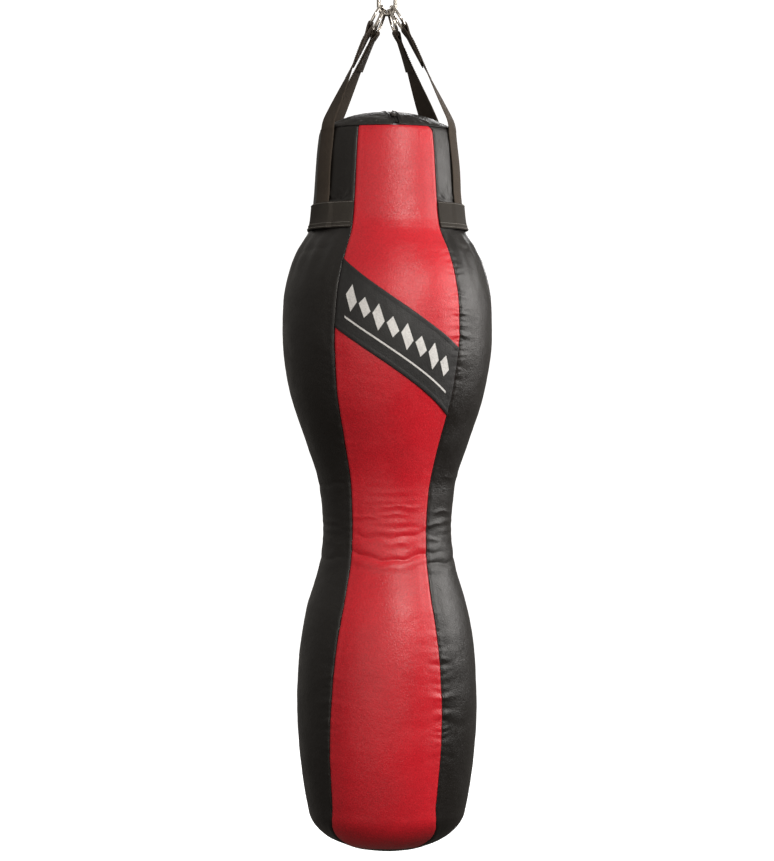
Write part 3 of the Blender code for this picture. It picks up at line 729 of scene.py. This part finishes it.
def on_panel(cover, name, share, run):
    """Points and normals of a panel's outer face at shares and lengths of any matching shape."""
    upper, runs, shares = cover[name]
    normal = grid_normals(upper)
    row = np.interp(run, runs, np.arange(len(runs)))
    column = np.interp(share, shares, np.arange(len(shares)))
    r0 = np.minimum(row.astype(int), len(runs) - 2)
    c0 = np.minimum(column.astype(int), len(shares) - 2)
    fr, fc = (row - r0)[..., None], (column - c0)[..., None]

    def pick(grid):
        top = grid[r0, c0] * (1 - fc) + grid[r0, c0 + 1] * fc
        low = grid[r0 + 1, c0] * (1 - fc) + grid[r0 + 1, c0 + 1] * fc
        return top * (1 - fr) + low * fr

    return pick(upper), pick(normal)


# ---- The band across the chest, with its plain pale pattern ----
def band_place(cover, along, down, lift):
    """Points over the front panel for shares along the band and down it, with its normals."""
    left = BAND_UPPER[0] + (BAND_LOWER[0] - BAND_UPPER[0]) * down
    right = BAND_UPPER[1] + (BAND_LOWER[1] - BAND_UPPER[1]) * down
    depth = left + (right - left) * along
    point, normal = on_panel(cover, "front_panel", 0.004 + 0.992 * along, length_at(depth))
    return point + normal * np.asarray(lift)[..., None], normal


def band_height(along, down):
    """The band's outer face above the panel: folded edges, the dip of their stitching, tucked-in ends."""
    edge = np.minimum(down, 1 - down) * 0.125
    hem = 0.0007 * ease(1 - (edge - 0.0070) / 0.0012) - 0.0010 * np.exp(-(edge / 0.0009) ** 2)
    seam = 0.0008 * np.exp(-np.minimum(along, 1 - along) * BAND_LONG / 0.003)
    spots = np.stack([along * BAND_LONG, down * BAND_TALL, 0 * along], -1)
    return 0.0016 + hem - 0.0004 * bump(edge, 0.0045, 0.0008) + 0.00025 * waves(spots, 0.05, 91) - seam


def build_band(cover):
    a, d = np.meshgrid(np.linspace(0, 1, 190), np.linspace(0, 1, 57))
    top, _ = band_place(cover, a, d, band_height(a, d))
    low, _ = band_place(cover, a, d, 0.0003 + 0 * a)
    uv = np.stack([a * BAND_LONG, d * BAND_TALL], -1)
    bag_piece(slab("diagonal_band", top, low, BAND, uv), "band_vinyl", "diagonal_band")
    rows = []
    for share in (0.036, 0.964):
        fine = np.linspace(0.01, 0.99, 160)
        rows.append(band_place(cover, fine, np.full(160, share), np.full(160, 0.0019)))
    bag_piece(stitching("band_stitches", rows, THREAD), "band_vinyl")

    points, faces = [], []

    def patch(corners, count=13):
        """A bent quadrilateral of print, from four corners given as (along, down)."""
        u, v = np.meshgrid(np.linspace(0, 1, count), np.linspace(0, 1, 13))
        p, q, r, s = np.array(corners)
        spot = ((1 - u) * (1 - v))[..., None] * p + (u * (1 - v))[..., None] * q
        spot = spot + (u * v)[..., None] * r + ((1 - u) * v)[..., None] * s
        height = band_height(spot[..., 0], spot[..., 1]) + 0.0004
        at, _ = band_place(cover, spot[..., 0], spot[..., 1], height)
        faces.extend((grid_faces(13, count)[:, ::-1] + sum(map(len, points))).tolist())
        points.append(at.reshape(-1, 3))

    for k in range(8):
        middle, wide, tall = 0.125 + 0.107 * k, 0.046, 0.150 if k % 2 else 0.195
        patch(((middle, 0.43 - tall), (middle + wide, 0.43), (middle, 0.43 + tall), (middle - wide, 0.43)))
    patch(((0.08, 0.735), (0.92, 0.735), (0.92, 0.765), (0.08, 0.765)), 150)
    bag_piece(new_mesh("band_pattern", np.concatenate(points), faces, None, PRINT), "band_vinyl")


# ---- Rings, straps and the neck belt ----
RING_GAP = 0.0005
RINGS = (
    ("front_left", -75.0, -8.0, (-0.131, 0.005)),
    ("rear_left", -25.6, -4.3, (0.031, -0.155)),
    ("rear_right", 25.6, 4.3, (-0.031, -0.155)),
    ("front_right", 75.0, 6.0, (0.131, 0.0)),
)
LOOP = RING_WIRE / 2 + 0.00055 + STRAP_THICK / 2
TAIL = 0.075
LAY_ON = 0.0008


def radius_at(depth):
    return np.interp(length_at(depth), ARC, LINE[:, 1])


def spot(angle, radius, depth):
    return around(np.float64(angle), radius, depth)


def hanging(bow_angle, plane_turn, lean, strap_angle):
    """A ring's centre, the way down it, the way across it and the strap's way outwards."""
    turn = math.radians(bow_angle)
    reach = BOW_RADIUS - HOOK_WIRE / 2 - RING_WIRE / 2 - RING_GAP
    top = np.array([reach * math.sin(turn), 0, BOW_Z + BOW_RADIUS - reach * math.cos(turn)])
    down = unit(unit(spot(strap_angle, RIM_RADIUS + 0.0025, 0.2345) - top) + np.array([*lean, 0]))
    skew = math.radians(plane_turn)
    across = np.array([math.sin(skew), -math.cos(skew), 0])
    across = unit(across - across.dot(down) * down)
    out = np.cross(across, down)
    return top + RING_RADIUS * down, down, across, out if out.dot(spot(strap_angle, 1, BOW_Z)) > 0 else -out


def build_ring(name, centre, down, across):
    turn = circle(144)
    path = centre + RING_RADIUS * (np.sin(turn)[:, None] * across + np.cos(turn)[:, None] * down)
    weld = np.degrees(turn) - 128
    radius = RING_WIRE / 2 * (1 + 0.030 * bump(weld, 0, 4.0) - 0.03 * bump(weld, 5.5, 1.5)
                              - 0.03 * bump(weld, -5.5, 1.5))
    ring = tube(f"ring_{name}", path, radius, CHROME, 20, closed=True)
    piece(ring, f"ring_{name}", "chrome_steel", f"ring_{name}")


def strap_surface(strap_angle, centre, down, across, out):
    """A strap's middle surface (tail, loop round the ring, leg to the head, flank to the belt) and its leg."""
    apart = STRAP_THICK / 2 + 0.0003
    foot = centre + RING_RADIUS * down
    edge = spot(strap_angle, RIM_RADIUS + LAY_ON + 0.0048, RIM_DEPTH + 0.0015)
    run = np.linalg.norm(edge - foot)
    towards = (edge - foot) / run
    level = np.array([math.cos(math.radians(strap_angle)), math.sin(math.radians(strap_angle)), 0])
    level = level if level.dot(across) > 0 else -level
    shares = np.linspace(-1, 1, 21)[:, None]
    swing = shares * STRAP_WIDTH / 2 / RING_RADIUS
    grid = []

    def ease1(x):
        return float(ease(x))

    def leg(length, side):
        flat = ease1(length / 0.060)
        spread = LOOP + (apart - LOOP) * ease1(length / 0.018)
        turned = unit(across + (level - across) * ease1(length / run))
        aside = RING_RADIUS * np.sin(swing) * (1 - flat) + shares * STRAP_WIDTH / 2 * flat
        sag = RING_RADIUS * (1 - np.cos(swing)) * (1 - flat)
        return foot + towards * length + turned * aside - down * sag + out * side * spread

    for length in np.linspace(TAIL, 0.009, 34):
        grid.append(leg(length, -1))
    for turn in np.radians(np.linspace(-90, 90, 19)):
        reach = RING_RADIUS - LOOP * np.cos(turn)
        fan = np.sin(swing) * across + np.cos(swing) * down
        grid.append(centre + reach * fan + LOOP * np.sin(turn) * out)
    for length in np.linspace(0.009, TAIL + (run - TAIL) * 0.80, 70):
        grid.append(leg(length, 1))
    last = grid[-1]
    lift = LAY_ON + STRAP_THICK / 2
    ends = 1 if level.dot(spot(strap_angle + 90, 1, BOW_Z)) > 0 else -1

    def flank(depth, rise):
        radius = float(radius_at(depth)) + rise + 0.0005
        step = math.degrees(STRAP_WIDTH / 2 / radius)
        return around(strap_angle + ends * shares[:, 0] * step, radius, depth)

    first = flank(RIM_DEPTH + 0.004, lift + 0.0006)
    lead = unit(grid[-1] - grid[-2])
    lean = unit(flank(RIM_DEPTH + 0.012, lift) - first)
    size = np.linalg.norm(first - last, axis=1, keepdims=True)
    for t in np.linspace(0, 1, 16)[1:-1]:
        h = hermite(t)
        grid.append(h[0] * last + h[1] * lead * size + h[2] * first + h[3] * lean * size)
    for depth in np.linspace(RIM_DEPTH + 0.004, BELT_TOP + WEBBING - 0.002, 60):
        puff = 0.0006 * math.sin(depth * 55 + strap_angle)
        rise = lift + 0.0006 * ease1((0.264 - depth) / 0.03) + puff * ease1((BELT_TOP - depth) / 0.03)
        grid.append(flank(depth, rise))
    return np.array(grid), leg


def build_strap(name, strap_angle, centre, down, across, out):
    grid, leg = strap_surface(strap_angle, centre, down, across, out)
    normal = grid_normals(grid)
    middle = grid[100, 10]
    if normal[100, 10].dot(np.array([middle[0], middle[1], 0])) < 0:
        normal = -normal
    strap = ribbon(f"strap_{name}", grid, normal, STRAP_THICK, TAPE)
    bag_piece(strap, "webbing", f"strap_{name}")
    rows = []
    for column in (1, 19):
        rows.append((grid[60:90, column] + normal[60:90, column] * (STRAP_THICK / 2), normal[60:90, column]))
    for length in (0.034, 0.068):
        line = leg(length, 1)[1:-1]
        rows.append((line + out * (STRAP_THICK / 2), np.broadcast_to(out, line.shape)))
    low, high = leg(0.034, 1), leg(0.068, 1)
    for start, end in ((low[1], high[-2]), (low[-2], high[1])):
        share = np.linspace(0, 1, 12)[:, None]
        line = start + (end - start) * share + out * (STRAP_THICK / 2)
        rows.append((line, np.broadcast_to(out, line.shape)))
    bag_piece(stitching(f"strap_stitches_{name}", rows, THREAD, pitch=0.0042, thread=0.00045), "webbing")


def build_belt():
    """Webbing round the sides and back at the neck, over the straps, its lower edge standing proud."""
    down = np.linspace(0, 1, 23)
    turn = np.linspace(0, 1, 520)
    share, level = np.meshgrid(turn, down)
    depth = BELT_TOP + WEBBING * level
    start, end = seam_angle(1, depth) + 0.15, seam_angle(5, depth) - 0.15
    angle = start + (end - start) * share
    lift = np.full(angle.shape, LAY_ON + 0.0002)
    for strap_angle in STRAPS.values():
        away = np.abs((angle - strap_angle + 180) % 360 - 180)
        lift = np.maximum(lift, LAY_ON + ease(1 - (away - 11.3) / 5.0) * (STRAP_THICK + LAY_ON + 0.0006))
    radius = radius_at(depth) + 0.0006
    proud = 0.0007 * ease((level - 0.72) / 0.28)
    wave = 0.0005 * waves(np.stack([angle / 60, 0 * angle, 0 * angle], -1), 1.0, 33)
    tuck = -0.0010 * np.exp(-np.minimum(share, 1 - share) / 0.004)
    low = around(angle, radius + lift + proud + wave + tuck, depth)
    normal = grid_normals(low)
    uv = np.stack([level * WEBBING, share * 0.72], -1)
    half = 1 - 0.5 * np.exp(-(np.minimum(level, 1 - level) * WEBBING / 0.0012))
    upper = low + normal * (BELT_THICK * half)[..., None]
    bag_piece(slab("neck_belt", upper, low, BELT, uv), "webbing", "neck_belt")
    rows = [(upper[at], normal[at]) for at in (1, 18, 21)]
    stitches = stitching("belt_stitches", rows, PALE_THREAD, pitch=0.0044, thread=0.00055, fill=0.8)
    bag_piece(stitches, "webbing")


# ---- Crown and zip ----
TURN = np.array(Matrix.Rotation(math.radians(HEAD_HEADING), 3, "Z"))


def crown_points(across, along, rise=0.0):
    """Points on the domed crown, across and along the zip, raised along the dome's normal."""
    scale = (DOME_RADIUS + rise) / DOME_RADIUS
    height = np.sqrt(DOME_RADIUS**2 - across**2 - along**2) * scale
    flat = np.stack([across * scale, along * scale, height], -1) @ TURN.T
    return flat + (0, 0, BOW_Z - DOME_CENTRE)


def build_crown():
    rim = RIM_RADIUS - 0.0003
    for side, name in ((-1, "crown_left"), (1, "crown_right")):
        even = np.linspace(0, 1, 60)
        across = ZIP_EDGE + (0.1304 - ZIP_EDGE) * np.sin(even * np.pi / 2)
        share = np.linspace(-1, 1, 121)
        a, t = np.meshgrid(across, share, indexing="ij")
        b = t * np.sqrt(rim**2 - a**2)
        away = np.maximum(rim - np.hypot(a, b), 0)
        flat = np.stack([a * side, b, 0 * a], -1)
        by_zip = a - ZIP_EDGE
        height = 0.0014 * waves(flat, 0.075, 20 + side) * ease(by_zip / 0.02) * ease(away / 0.02)
        height += 0.0004 * waves(flat, 0.02, 22 + side) * ease(by_zip / 0.02)
        height += 0.0006 * ease(1 - (by_zip - 0.0065) / 0.0012) - 0.0006 * np.exp(-(by_zip / 0.0008) ** 2)
        height -= 0.0016 * np.exp(-(away / 0.0030) ** 1.3)
        around_rim = np.arctan2(b, a)
        height += 0.0007 * np.cos(around_rim * 34 + 3 * np.sin(around_rim * 5)) * bump(away, 0.009, 0.008)
        upper = crown_points(a * side, b, height)[:, ::side]
        lower = crown_points(a * side, b, height - VINYL)[:, ::side]
        uv = np.stack([a, b], -1)[:, ::side]
        bag_piece(slab(name, upper, lower, CROWN, uv), "crown_vinyl", name, padded=0.7)
        line = np.linspace(-0.112, 0.112, 200)
        rows = []
        for step in (0.0032, 0.0052):
            path = crown_points(np.full(200, side * (ZIP_EDGE + step)), line, 0.0007)
            rows.append((path, unit(path - (0, 0, BOW_Z - DOME_CENTRE))))
        bag_piece(stitching(f"crown_stitches_{name[6:]}", rows, THREAD), "crown_vinyl")
        tape_across = np.linspace(0.00025, 0.0140, 10)
        line = np.linspace(-0.118, 0.118, 120)
        a, b = np.meshgrid(tape_across, line, indexing="ij")
        uv = np.stack([a, b], -1)[:, ::side]
        top = crown_points(a * side, b, -0.0026 + 0.0004 * np.exp(-a / 0.0012))[:, ::side]
        low = crown_points(a * side, b, -0.0034)[:, ::side]
        tape = slab(f"zip_tape_{name[6:]}", top, low, ZIP_TAPE, uv)
        bag_piece(tape, "zip_tape", f"zip_tape_{name[6:]}")


def block_mesh(blocks, name, look, bevel=0.0):
    """One object of several boxes, each given as (size, centre, 4x4 place)."""
    work = bmesh.new()
    for size, centre, place in blocks:
        shape = place @ Matrix.Translation(centre) @ Matrix.Diagonal((*size, 1))
        bmesh.ops.create_cube(work, size=1.0, matrix=shape)
    if bevel:
        bmesh.ops.bevel(work, geom=work.edges[:], offset=bevel, segments=2, affect="EDGES", profile=0.6)
    mesh = bpy.data.meshes.new(name)
    work.to_mesh(mesh)
    work.free()
    mesh.shade_smooth()
    mesh.set_sharp_from_angle(angle=math.radians(40))
    mesh.materials.append(look)
    obj = bpy.data.objects.new(name, mesh)
    bpy.context.scene.collection.objects.link(obj)
    return obj


def crown_frame(along_angle, rise):
    """Places a piece on the zip: its own X across, Y along to the rear and Z out of the crown."""
    turn = Matrix.Rotation(math.radians(HEAD_HEADING), 4, "Z")
    tilt = Matrix.Rotation(-math.radians(along_angle), 4, "X")
    centre = Matrix.Translation((0, 0, BOW_Z - DOME_CENTRE))
    return centre @ turn @ tilt @ Matrix.Translation((0, 0, DOME_RADIUS + rise))


def build_zip():
    teeth = []
    count = int(2 * ZIP_HALF / TOOTH_PITCH)
    for k in range(count):
        angle = math.degrees((k + 0.5 - count / 2) * TOOTH_PITCH / DOME_RADIUS)
        side = 1 if k % 2 else -1
        place = crown_frame(angle, -0.0012)
        teeth.append(((0.0030, 0.0011, 0.0020), (side * 0.0009, 0, 0), place))
    bag_piece(block_mesh(teeth, "zip_chain", ZIP_METAL, 0.00018), "zip_metal", "zip_chain")
    angle = math.degrees(math.asin(ZIP_HALF / DOME_RADIUS)) + 0.45
    for side, name in ((-1, "zip_stop_front"), (1, "zip_stop_rear")):
        stop = block_mesh([((0.0060, 0.0024, 0.0022), (0, 0, -0.0004), crown_frame(side * angle, 0.0))],
                          name, ZIP_METAL, 0.0005)
        bag_piece(stop, "zip_metal", name)

    place = crown_frame(-17.5, 0.0)
    parts = [((0.0098, 0.0120, 0.0018), (0, 0, 0.0021), place),
             ((0.0070, 0.0030, 0.0019), (0, 0.0052, 0.0021), place)]
    parts += [((0.0018, 0.0120, 0.0036), (side * 0.0040, 0, 0.0010), place) for side in (-1, 1)]
    slider = block_mesh(parts, "zip_slider", ZIP_METAL, 0.0004)
    piece(slider, "zip_slider", "zip_metal", "zip_slider")
    bow = [place @ Vector((0, 0.0044 * math.cos(t), 0.0026 + 0.0046 * math.sin(t) ** 0.6))
           for t in np.linspace(0.02, math.pi - 0.02, 25)]
    bridge = tube("zip_slider_bridge", [tuple(p) for p in bow], 0.0007, ZIP_METAL, 10)
    piece(bridge, "zip_slider", "zip_metal")

    dip = place @ Matrix.Translation((0, 0, 0.0047)) @ Matrix.Rotation(math.radians(4), 4, "X")
    turn = circle(48)

    def loop(length, width, centre, power):
        c, s = np.cos(turn), np.sin(turn)
        return np.stack([width / 2 * np.sign(c) * np.abs(c) ** power,
                         centre + length / 2 * np.sign(s) * np.abs(s) ** power], -1)

    outer, inner = loop(0.0278, 0.0074, -0.0133, 0.45), loop(0.0056, 0.0036, -0.0031, 0.5)
    rings = [(outer, 0.0), (outer * (0.97, 1), 0.00065), (inner * 1.02, 0.00065), (inner, 0.0)]
    top = np.array([[dip @ Vector((*p, h)) for p in line] for line, h in rings])
    low = np.array([[dip @ Vector((*p, -h)) for p in line] for line, h in rings])
    pull = slab("zip_pull", top[:, ::-1], low[:, ::-1], ZIP_METAL, wrap=True)
    piece(pull, "zip_pull", "zip_metal", "zip_pull")


# ---- Base disc, and the liner and filling inside ----
def build_base():
    share = np.linspace(0.9985, 0.012, 46)
    turn = np.linspace(0, 360, 192, endpoint=False)
    t, r = np.meshgrid(turn, share * BASE_RADIUS)
    depth = CORNER_DEPTH + (BASE_DEPTH - CORNER_DEPTH) * np.sqrt(1 - (r / OUTLINE[-1][1]) ** 2)
    base = around(t, r, depth)
    away = BASE_RADIUS - r
    height = 0.0010 * waves(base, 0.05, 71) * ease(away / 0.02) - 0.0018 * np.exp(-(away / 0.0026) ** 1.3)
    height += 0.0006 * np.cos(np.radians(t) * 42 + np.sin(np.radians(t) * 5) * 3) * bump(away, 0.008, 0.007)
    out = unit(base - np.array([0, 0, BOW_Z - CORNER_DEPTH + 0.06]))
    upper = base + out * height[..., None]
    obj = slab("base_panel", upper, upper - out * VINYL, BLACK, np.stack([r, t / 1000], -1), wrap=True)
    bag_piece(obj, "black_vinyl", "base_panel", padded=0.8)


def build_inside():
    """The liner and the seven rammed loads, hidden inside the cover."""
    runs = np.linspace(TOP + 0.012, ARC[-1] - 0.004, 90)
    places, run = np.meshgrid(np.arange(60) / 12, runs)
    upper = body_points(places, run, -0.0056)
    lower = body_points(places, run, -0.0064)
    bag_piece(slab("inner_liner", upper, lower, LINER, wrap=True), "liner_cloth", "inner_liner")
    breaks = (0.2265, 0.426, 0.645, 0.830, 1.015, 1.220, 1.440, 1.6270)
    for number, (first, last) in enumerate(zip(breaks, breaks[1:]), 1):
        runs = np.linspace(length_at(first + 0.001), length_at(last - 0.001), 26)
        places, run = np.meshgrid(np.arange(60) / 12, runs)
        wall = body_points(places, run, -0.0078)
        dent = 0.0020 * (1 + waves(wall, 0.06, 100 + number))
        wall = wall - grid_normals(wall, wrap=True) * dent[..., None]
        upwards = np.array([0, 0, 1.0])
        rows = [wall]
        for edge, place in ((0, "top"), (-1, "low")):
            line = wall[edge]
            caps = [line * (k, k, 1) for k in (0.9, 0.7, 0.45, 0.2, 0.03)]
            if number == 1 and place == "top":
                caps = [c + upwards * (0.030 * (1 - (np.hypot(*c[:, :2].T) / 0.125)[:, None] ** 2))
                        for c in caps]
            rows = [np.array(caps[::-1]), *rows] if place == "top" else [*rows, np.array(caps)]
        rows = np.concatenate(rows)
        count = len(rows) * 60
        faces = grid_faces(len(rows), 60, wrap=True).tolist()
        faces += [list(range(60)), list(range(count - 60, count))[::-1]]
        load = new_mesh(f"textile_fill_{number}", rows, faces, None, FILL)
        bag_piece(load, "textile_fill", f"textile_fill_{number}", padded=1.0)


# ---- Snap hook ----
def build_hook():
    upper = BOW_RADIUS + LEG
    nose = [(BOW_RADIUS, BOW_Z + upper + h) for h in (-0.0020, -0.0012, -0.0004)]
    crest = [(BOW_RADIUS * math.cos(t), BOW_Z + upper + BOW_RADIUS * math.sin(t))
             for t in np.linspace(0, math.pi, 49)]
    back = [(-BOW_RADIUS, BOW_Z + h) for h in np.linspace(upper, BOW_RADIUS, 14)[1:-1]]
    bow = [(BOW_RADIUS * math.cos(t), BOW_Z + BOW_RADIUS + BOW_RADIUS * math.sin(t))
           for t in np.linspace(math.pi, 2 * math.pi, 49)]
    heel = [(BOW_RADIUS, BOW_Z + h) for h in (0.0168, 0.0176, 0.0184, 0.01868)]
    line = np.array([(x, 0, z) for x, z in nose + crest + back + bow + heel])
    radius = np.full(len(line), HOOK_WIRE / 2)
    radius[[0, -1]] *= 0.90
    wire = tube("snap_hook_body", line, radius, ZINC, 28)
    piece(wire, "snap_hook", "zinc_steel", "snap_hook_body")
    pivot = Matrix.Translation((BOW_RADIUS, 0, BOW_Z + PIVOT_HEIGHT))
    tongue = block_mesh([((0.0076, 0.0034, 0.0090), (0, 0, -0.0024), pivot)], "hook_tongue", ZINC, 0.0011)
    nose_place = Matrix.Translation((BOW_RADIUS, 0, BOW_Z + 0.0520))
    tip = block_mesh([((0.0062, 0.0034, 0.0100), (0, 0, 0), nose_place)], "hook_nose", ZINC, 0.0009)
    for obj in (tongue, tip):
        piece(obj, "snap_hook", "zinc_steel")


# ---- Camera, light and floor ----
def build_stage():
    scene = bpy.context.scene
    camera = bpy.data.cameras.new("camera")
    camera.lens = 118.0
    camera.sensor_width = 36.0
    camera.clip_start, camera.clip_end = 0.1, 60.0
    eye = bpy.data.objects.new("camera", camera)
    eye.location = (0.0, -5.5, -0.879)
    eye.rotation_euler = (math.radians(90), 0, 0)
    scene.collection.objects.link(eye)
    scene.camera = eye

    def lamp(name, where, aim, size, power, colour=(1, 1, 1)):
        light = bpy.data.lights.new(name, "AREA")
        light.shape = "RECTANGLE"
        light.size, light.size_y = size
        light.energy = power
        light.color = colour
        obj = bpy.data.objects.new(name, light)
        obj.location = where
        obj.rotation_euler = (Vector(aim) - Vector(where)).to_track_quat("-Z", "Y").to_euler()
        obj.visible_camera = False
        scene.collection.objects.link(obj)

    lamp("key", (1.8, -3.4, 0.9), (0, 0, -0.8), (0.7, 0.9), 98, (1.0, 0.97, 0.92))
    lamp("side", (2.8, 0.1, -0.15), (0, 0, -0.7), (2.4, 1.7), 66, (1.0, 0.97, 0.94))
    lamp("fill", (-1.5, -6.0, -0.6), (0, 0, -1.0), (7.0, 4.0), 95, (1.0, 0.95, 0.88))
    lamp("rear", (0.5, 3.8, 0.6), (0, 0, -0.9), (1.6, 1.6), 60)
    scene.view_settings.view_transform = "Standard"
    world = bpy.data.worlds.new("studio")
    scene.world = world
    world.use_nodes = True
    nodes, links = world.node_tree.nodes, world.node_tree.links
    split = nodes.new("ShaderNodeSeparateXYZ")
    links.new(nodes.new("ShaderNodeTexCoord").outputs["Generated"], split.inputs[0])
    ramp = nodes.new("ShaderNodeValToRGB")
    ramp.color_ramp.elements[0].position, ramp.color_ramp.elements[0].color = 0.30, (0.10, 0.090, 0.080, 1)
    ramp.color_ramp.elements[1].position, ramp.color_ramp.elements[1].color = 0.90, (0.46, 0.44, 0.41, 1)
    share = nodes.new("ShaderNodeMath")
    share.operation = "MULTIPLY_ADD"
    share.inputs[1].default_value = share.inputs[2].default_value = 0.5
    links.new(split.outputs["Z"], share.inputs[0])
    links.new(share.outputs[0], ramp.inputs["Fac"])
    links.new(ramp.outputs["Color"], nodes["Background"].inputs["Color"])
    nodes["Background"].inputs["Strength"].default_value = 0.9

    look = Look("floor", Roughness=0.9, Specular_IOR_Level=0.0, Emission_Color=(1, 1, 1, 1),
                Emission_Strength=0.86)
    look.colours(look.noise(1.5, 3.0), ((0.3, (0.78, 0.78, 0.78)), (0.7, (0.82, 0.82, 0.82))))
    curve = np.linspace(0, math.pi / 2, 30)
    reach = np.concatenate([[0.5, 2.0, 4.0, 6.0], 6.5 + 2.5 * np.sin(curve), [9.0]])
    rise = np.concatenate([[0, 0, 0, 0], 2.5 - 2.5 * np.cos(curve), [8.0]]) + FLOOR_Z
    turn = circle(96)
    floor = np.stack([reach[:, None] * np.cos(turn), reach[:, None] * np.sin(turn),
                      np.broadcast_to(rise[:, None], (len(rise), 96))], -1)
    faces = grid_faces(*floor.shape[:2], wrap=True).tolist() + [list(range(96))]
    ground = new_mesh("floor", floor, faces, None, look.made)
    ground.visible_glossy = ground.visible_diffuse = ground.visible_shadow = False


build_stage()
COVER = build_cover()
build_band(COVER)
for ring_name, bow_angle, plane_turn, lean in RINGS:
    strap_way = STRAPS[ring_name]
    centre, down, across, out = hanging(bow_angle, plane_turn, lean, strap_way)
    build_ring(ring_name, centre, down, across)
    build_strap(ring_name, strap_way, centre, down, across, out)
build_belt()
build_crown()
build_zip()
build_base()
build_inside()
build_hook()
for node, look in (("snap_hook_gate", ZINC), ("gate_rivet", ZINC),
                   ("gate_plunger", SPRING), ("gate_spring", SPRING)):
    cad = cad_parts[node]
    cad.data.materials.clear()
    cad.data.materials.append(look)
